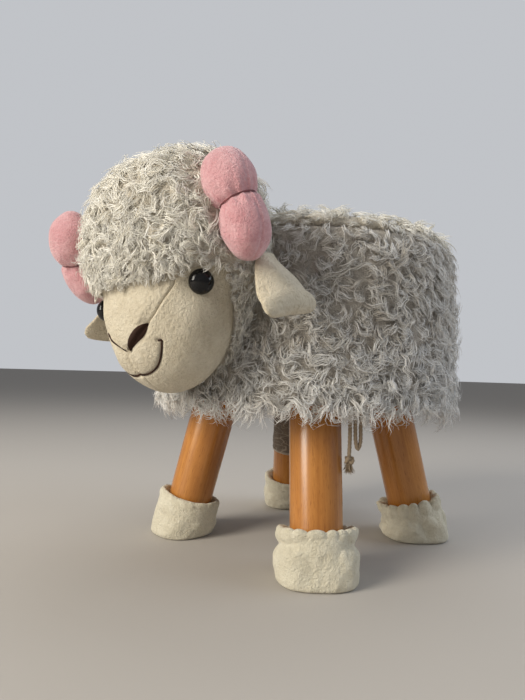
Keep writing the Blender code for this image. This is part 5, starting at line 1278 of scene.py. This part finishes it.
def growCurls(label, roots, normals, lay, lengths, tones, seed, finish="capCurls"):
    draw = np.random.default_rng(seed)
    locks, each, steps, sides = len(roots), fur["strands"], fur["steps"], fur["sides"]
    count, rows = locks * each, steps - 1

    def perLock(low, high):
        return np.repeat(draw.uniform(low, high, locks), each)[:, None]

    def jitter(size):
        return draw.normal(0.0, size, (count, 1))

    normals, lay = unit(normals), unit(lay - normals * (lay * normals).sum(-1, keepdims=True))
    normal, along = np.repeat(normals, each, axis=0), np.repeat(lay, each, axis=0)
    across = np.cross(normal, along)
    size = np.repeat(lengths, each)[:, None] * draw.uniform(0.78, 1.18, (count, 1))
    mid = (np.arange(steps) + 0.5)[None] / steps
    wind = perLock(*fur["wind"]) * np.repeat(draw.choice([-1.0, 1.0], locks), each)[:, None] + jitter(0.25)
    phase = perLock(0.0, fullTurn) + jitter(0.25)
    heading = (wind * (mid - 0.15) + perLock(*fur["swing"]) * np.sin(fullTurn * perLock(*fur["waves"]) * mid + phase)
               + jitter(0.14))
    rise = rad(1.0) * (perLock(*fur["rise"]) + jitter(5.0))
    fall = rad(1.0) * (perLock(*fur["fall"]) + jitter(8.0))
    level = rise + (fall - rise) * mid ** 0.85
    step = ((np.cos(level) * np.cos(heading))[..., None] * along[:, None]
            + (np.cos(level) * np.sin(heading))[..., None] * across[:, None]
            + np.sin(level)[..., None] * normal[:, None])
    path = np.concatenate([np.zeros((count, 1, 3)), np.cumsum(step * (size / steps)[..., None], axis=1)], axis=1)
    s = (np.arange(steps + 1) / steps)[None, :, None]
    reach, turn = fur["spread"] * np.sqrt(draw.uniform(0.0, 1.0, count)), draw.uniform(0.0, fullTurn, count)
    core = np.arange(count) % each == 0  # one broad flat strand in each lock holds it together
    reach = reach * ~core
    offset = (reach * np.cos(turn))[:, None] * along + (reach * np.sin(turn))[:, None] * across
    foot = np.repeat(roots - normals * fur["sink"], each, axis=0)
    path = path + foot[:, None] + offset[:, None] * (1.0 - fur["drawn"] * s)
    tangent = unit(np.gradient(path, axis=1))
    first = unit(np.cross(tangent, normal[:, None] + 0.3 * along[:, None]))
    second = np.cross(tangent, first)
    girth = np.where(core[:, None], draw.uniform(*fur["core"], (count, 1)),
                     draw.uniform(fur["thin"], fur["thick"], (count, 1))) * np.array(fur["girth"])
    flat = np.where(core, fur["coreFlat"], 1.0)[:, None, None]
    ways = ringWays(first, flat * second, turns(sides))[:, 1:steps]
    rings = path[:, 1:steps, None] + girth[..., None, None] * ways
    points = strandPoints(rings, path[:, 0], path[:, -1])
    span = fur["toneSpan"]
    tone = np.clip(np.repeat(tones, each) + draw.normal(0.0, 0.17, count), 0.0, 1.0) * (1.0 - span)
    u = tone[:, None, None] + span * (np.arange(sides) / (sides - 1.0))
    uv = np.stack(np.broadcast_arrays(u, (np.arange(1, steps) / steps)[None, :, None]), axis=-1).reshape(count, -1, 2)
    ends = np.stack([np.stack([tone + span / 2.0, tone * 0.0 + end], axis=1) for end in (0.0, 1.0)], axis=1)
    uv = np.concatenate([uv, ends], axis=1)
    order = np.argsort(np.arctan2(path[:, 0, 1] - axisY, path[:, 0, 0]))
    for k, chosen in enumerate(np.array_split(order, int(math.ceil(count / fur["perPiece"])))):
        addPiece(f"{label}{k + 1}", points[chosen], strandFaces(len(chosen), rows, sides), finish,
                 uv=uv[chosen].reshape(-1, 2), uvName="OFBake")


# Evenly scattered pairs of shares from two irrational steps
def scatter(count, shift=0.5):
    k = np.arange(1, count + 1)
    return (shift + k * 0.7548776662) % 1.0, (shift + k * 0.5698402910) % 1.0


# Places and normals on an outline at shares of the area that it turns out, and the row each falls on
def outlinePlaces(outline, share):
    seg = np.linalg.norm(np.diff(outline, axis=0), axis=1)
    area = np.concatenate([[0.0], np.cumsum(seg * (outline[1:, 0] + outline[:-1, 0]) / 2.0)])
    index = np.arange(len(outline))
    at = np.interp(share * area[-1], area, index)
    spot, normal = (np.stack([np.interp(at, index, line[:, c]) for c in (0, 1)], axis=1)
                    for line in (outline, outlineNormal(outline)))
    return spot, unit(normal), at


# Roots scattered evenly over the drum's skin; the locks lie down its slope, turned by a slow swirl; locks low on the
# side and over the top are toned brighter, painted light
def drumCurls():
    draw = np.random.default_rng(5)
    for label, outline, locks, seed in (("topCurls", drumSkin[:seamRow + 1], fur["topLocks"], 31),
                                        ("sideCurls", drumSkin[seamRow:-1], fur["sideLocks"], 32)):
        onSide = label == "sideCurls"
        first, second = scatter(locks)
        second = (second + 0.25 * draw.uniform(-1.0, 1.0, locks) / math.sqrt(locks)) % 1.0
        if onSide:
            first = 1.0 - (1.0 - first) ** 1.35  # closer together towards the foot
        spot, normal, at = outlinePlaces(outline, first)
        out, up = roundAxis(1.0, second * fullTurn, 0.0), np.array([0.0, 0.0, 1.0])
        beside = np.cross(up, out)
        roots = out * spot[:, :1] + up * spot[:, 1:] + (0.0, axisY, 0.0)
        normals = out * normal[:, :1] + up * normal[:, 1:]
        down = out * normal[:, 1:] - up * normal[:, :1]  # along the outline, outwards and down
        swirl = lumps(roots, 0.05, seed) * 1.3 + draw.normal(0.0, 0.6 if onSide else 1.0, locks)
        lengths = draw.uniform(*fur["length"], locks)
        if onSide:
            fromFoot = ramp(roots[:, 2], skirtFoot, 0.02)
            swirl = (swirl + fur["slant"]) * (0.45 + 0.55 * fromFoot)
            lengths *= 1.0 + fur["footLonger"] * (1.0 - fromFoot)
            fromSeam = ramp(at, 0.0, 7.0)
        else:
            fromSeam = np.clip((seamRow - at) / 3.0, 0.0, 1.0)
            swirl = swirl + draw.uniform(-fur["seamSwirl"], fur["seamSwirl"], locks) * (1.0 - fromSeam)
        lengths *= 1.0 - fur["seamShorter"] + fur["seamShorter"] * fromSeam
        lay = down * np.cos(swirl)[:, None] + beside * np.sin(swirl)[:, None]
        # brighter tones low on the side and over the top: painted light where the light falls on them
        low = np.clip((clearance + 0.065 - roots[:, 2]) / 0.05, 0.0, 1.0)
        tones = (fur["tone"] + fur["lowLocksLit"] * low + fur["tonePatch"] * lumps(roots, 0.03, seed + 5)
                 + draw.normal(0.0, fur["toneSpread"], locks) + (0.0 if onSide else fur["topLocksLit"]))
        keep = skinLevel(placed(roots, headMatrix.inverted())) >= head["capPile"] - 0.001
        growCurls(label, *(rows[keep] for rows in (roots, normals, lay, lengths, tones)), seed,
                  "woolCurls" if onSide else "capCurls")


# The same over the cap: the locks lie towards the face, those at its border combed straight and short, in the lit wool
# copy with a raised tone: painted light
def capCurls():
    draw = np.random.default_rng(6)
    first, second = scatter(int(fur["capLocks"] * 1.9))
    first = (first + draw.uniform(-0.5, 0.5, len(first)) / math.sqrt(len(first))) % 1.0
    around = first * fullTurn - math.pi
    cosEdge = np.cos(borderAt(around))
    most = cosEdge.max() + 1.0
    keep = second * most < cosEdge + 1.0  # even over the sphere of directions behind the border
    around, away = around[keep], np.arccos(np.clip(second[keep] * most - 1.0, -1.0, 1.0))
    ways = polarWay(away, around)
    skin = skinFrom(headCore, ways)
    normals = skinNormal(skin)
    fromEdge = away - borderAt(around)
    edge, full = head["capEdge"], head["capPile"] - head["capSink"]
    roots = skin + normals * (edge + (full - edge) * ramp(fromEdge, 0.0, 0.25) ** 0.5)[:, None]
    forward = unit(pole - ways * (ways @ pole)[:, None])
    swirl = lumps(roots, 0.045, 41) * 1.8 + draw.normal(0.0, 1.1, len(roots))
    swirl *= np.clip(0.30 + fromEdge / 0.7, 0.0, 1.0)
    lay = forward * np.cos(swirl)[:, None] + np.cross(normals, forward) * np.sin(swirl)[:, None]
    lengths = draw.uniform(*fur["length"], len(roots))
    lengths *= 1.0 - fur["edgeShorter"] + fur["edgeShorter"] * ramp(fromEdge, 0.0, 0.40)
    lengths *= 1.0 - fur["behindShorter"] * ramp(roots[:, 1], 0.050, 0.020) * ramp(roots[:, 2], 0.010, 0.02)
    tones = fur["capLocksLit"] + 0.16 * lumps(roots, 0.018, 46) + draw.normal(0.0, 0.12, len(roots))
    roots, turn = placed(roots, headMatrix), np.array(headMatrix)[:3, :3].T
    clear = (np.hypot(roots[:, 0], roots[:, 1] - axisY) > coverOuter) | (roots[:, 2] > crestTop + 0.002)
    for spot in eyeSpots:
        clear &= np.linalg.norm(skin - spot, axis=-1) > fur["eyeClear"]
    for line, girth in hornLines:
        far, which = nearest(roots, line)
        clear &= far > girth[which] - 0.001
    growCurls("capCurls", *(rows[clear] for rows in (roots, normals @ turn, lay @ turn, lengths, tones)), 43)


drumCurls()
capCurls()
print("curls grown")

# Boards, fixings and elastics stay as solids with their own finishes
solids = {"base_board": "plywood", "top_board": "plywood", "drum_wall": "plywood",
          "eye_washer_left": "washerPlastic", "eye_washer_right": "washerPlastic"}
for corner in leg["corners"]:
    solids.update({"hanger_bolt_" + corner: "zincSteel", "tee_nut_" + corner: "zincSteel",
                   "cuff_elastic_" + corner: "cuffElastic"})
for node, finish in solids.items():
    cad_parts[node].data.materials.clear()
    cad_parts[node].data.materials.append(finishes[finish])
print("solids finished")


# Floor and sky: pale, plain and lit softly from all round
def dressRoom():
    mesh = bpy.data.meshes.new("floor")
    far = room["floorReach"]
    mesh.from_pydata([(-far, -far, 0.0), (far, -far, 0.0), (far, far, 0.0), (-far, far, 0.0)], [], [(0, 1, 2, 3)])
    paint = bpy.data.materials.new("floorPaint")
    paint.use_nodes = True
    shader = paint.node_tree.nodes["Principled BSDF"]
    feed(shader.inputs["Base Color"], room["floorTone"])
    feed(shader.inputs["Roughness"], 0.8)
    mesh.materials.append(paint)
    addObject("floor", mesh)
    world = bpy.data.worlds.new("sky")
    world.use_nodes = True
    nodes = world.node_tree.nodes
    glow, plain = nodes["Background"], nodes.new("ShaderNodeBackground")
    for shade, strength in ((glow, room["skyStrength"]), (plain, room["backdrop"])):
        feed(shade.inputs["Color"], room["skyTone"])
        feed(shade.inputs["Strength"], strength)
    ray, pick = nodes.new("ShaderNodeLightPath"), nodes.new("ShaderNodeMixShader")
    for into, source in zip(pick.inputs, (ray.outputs["Is Camera Ray"], glow.outputs[0], plain.outputs[0])):
        feed(into, source)
    feed(nodes["World Output"].inputs["Surface"], pick.outputs[0])
    bpy.context.scene.world = world


dressRoom()
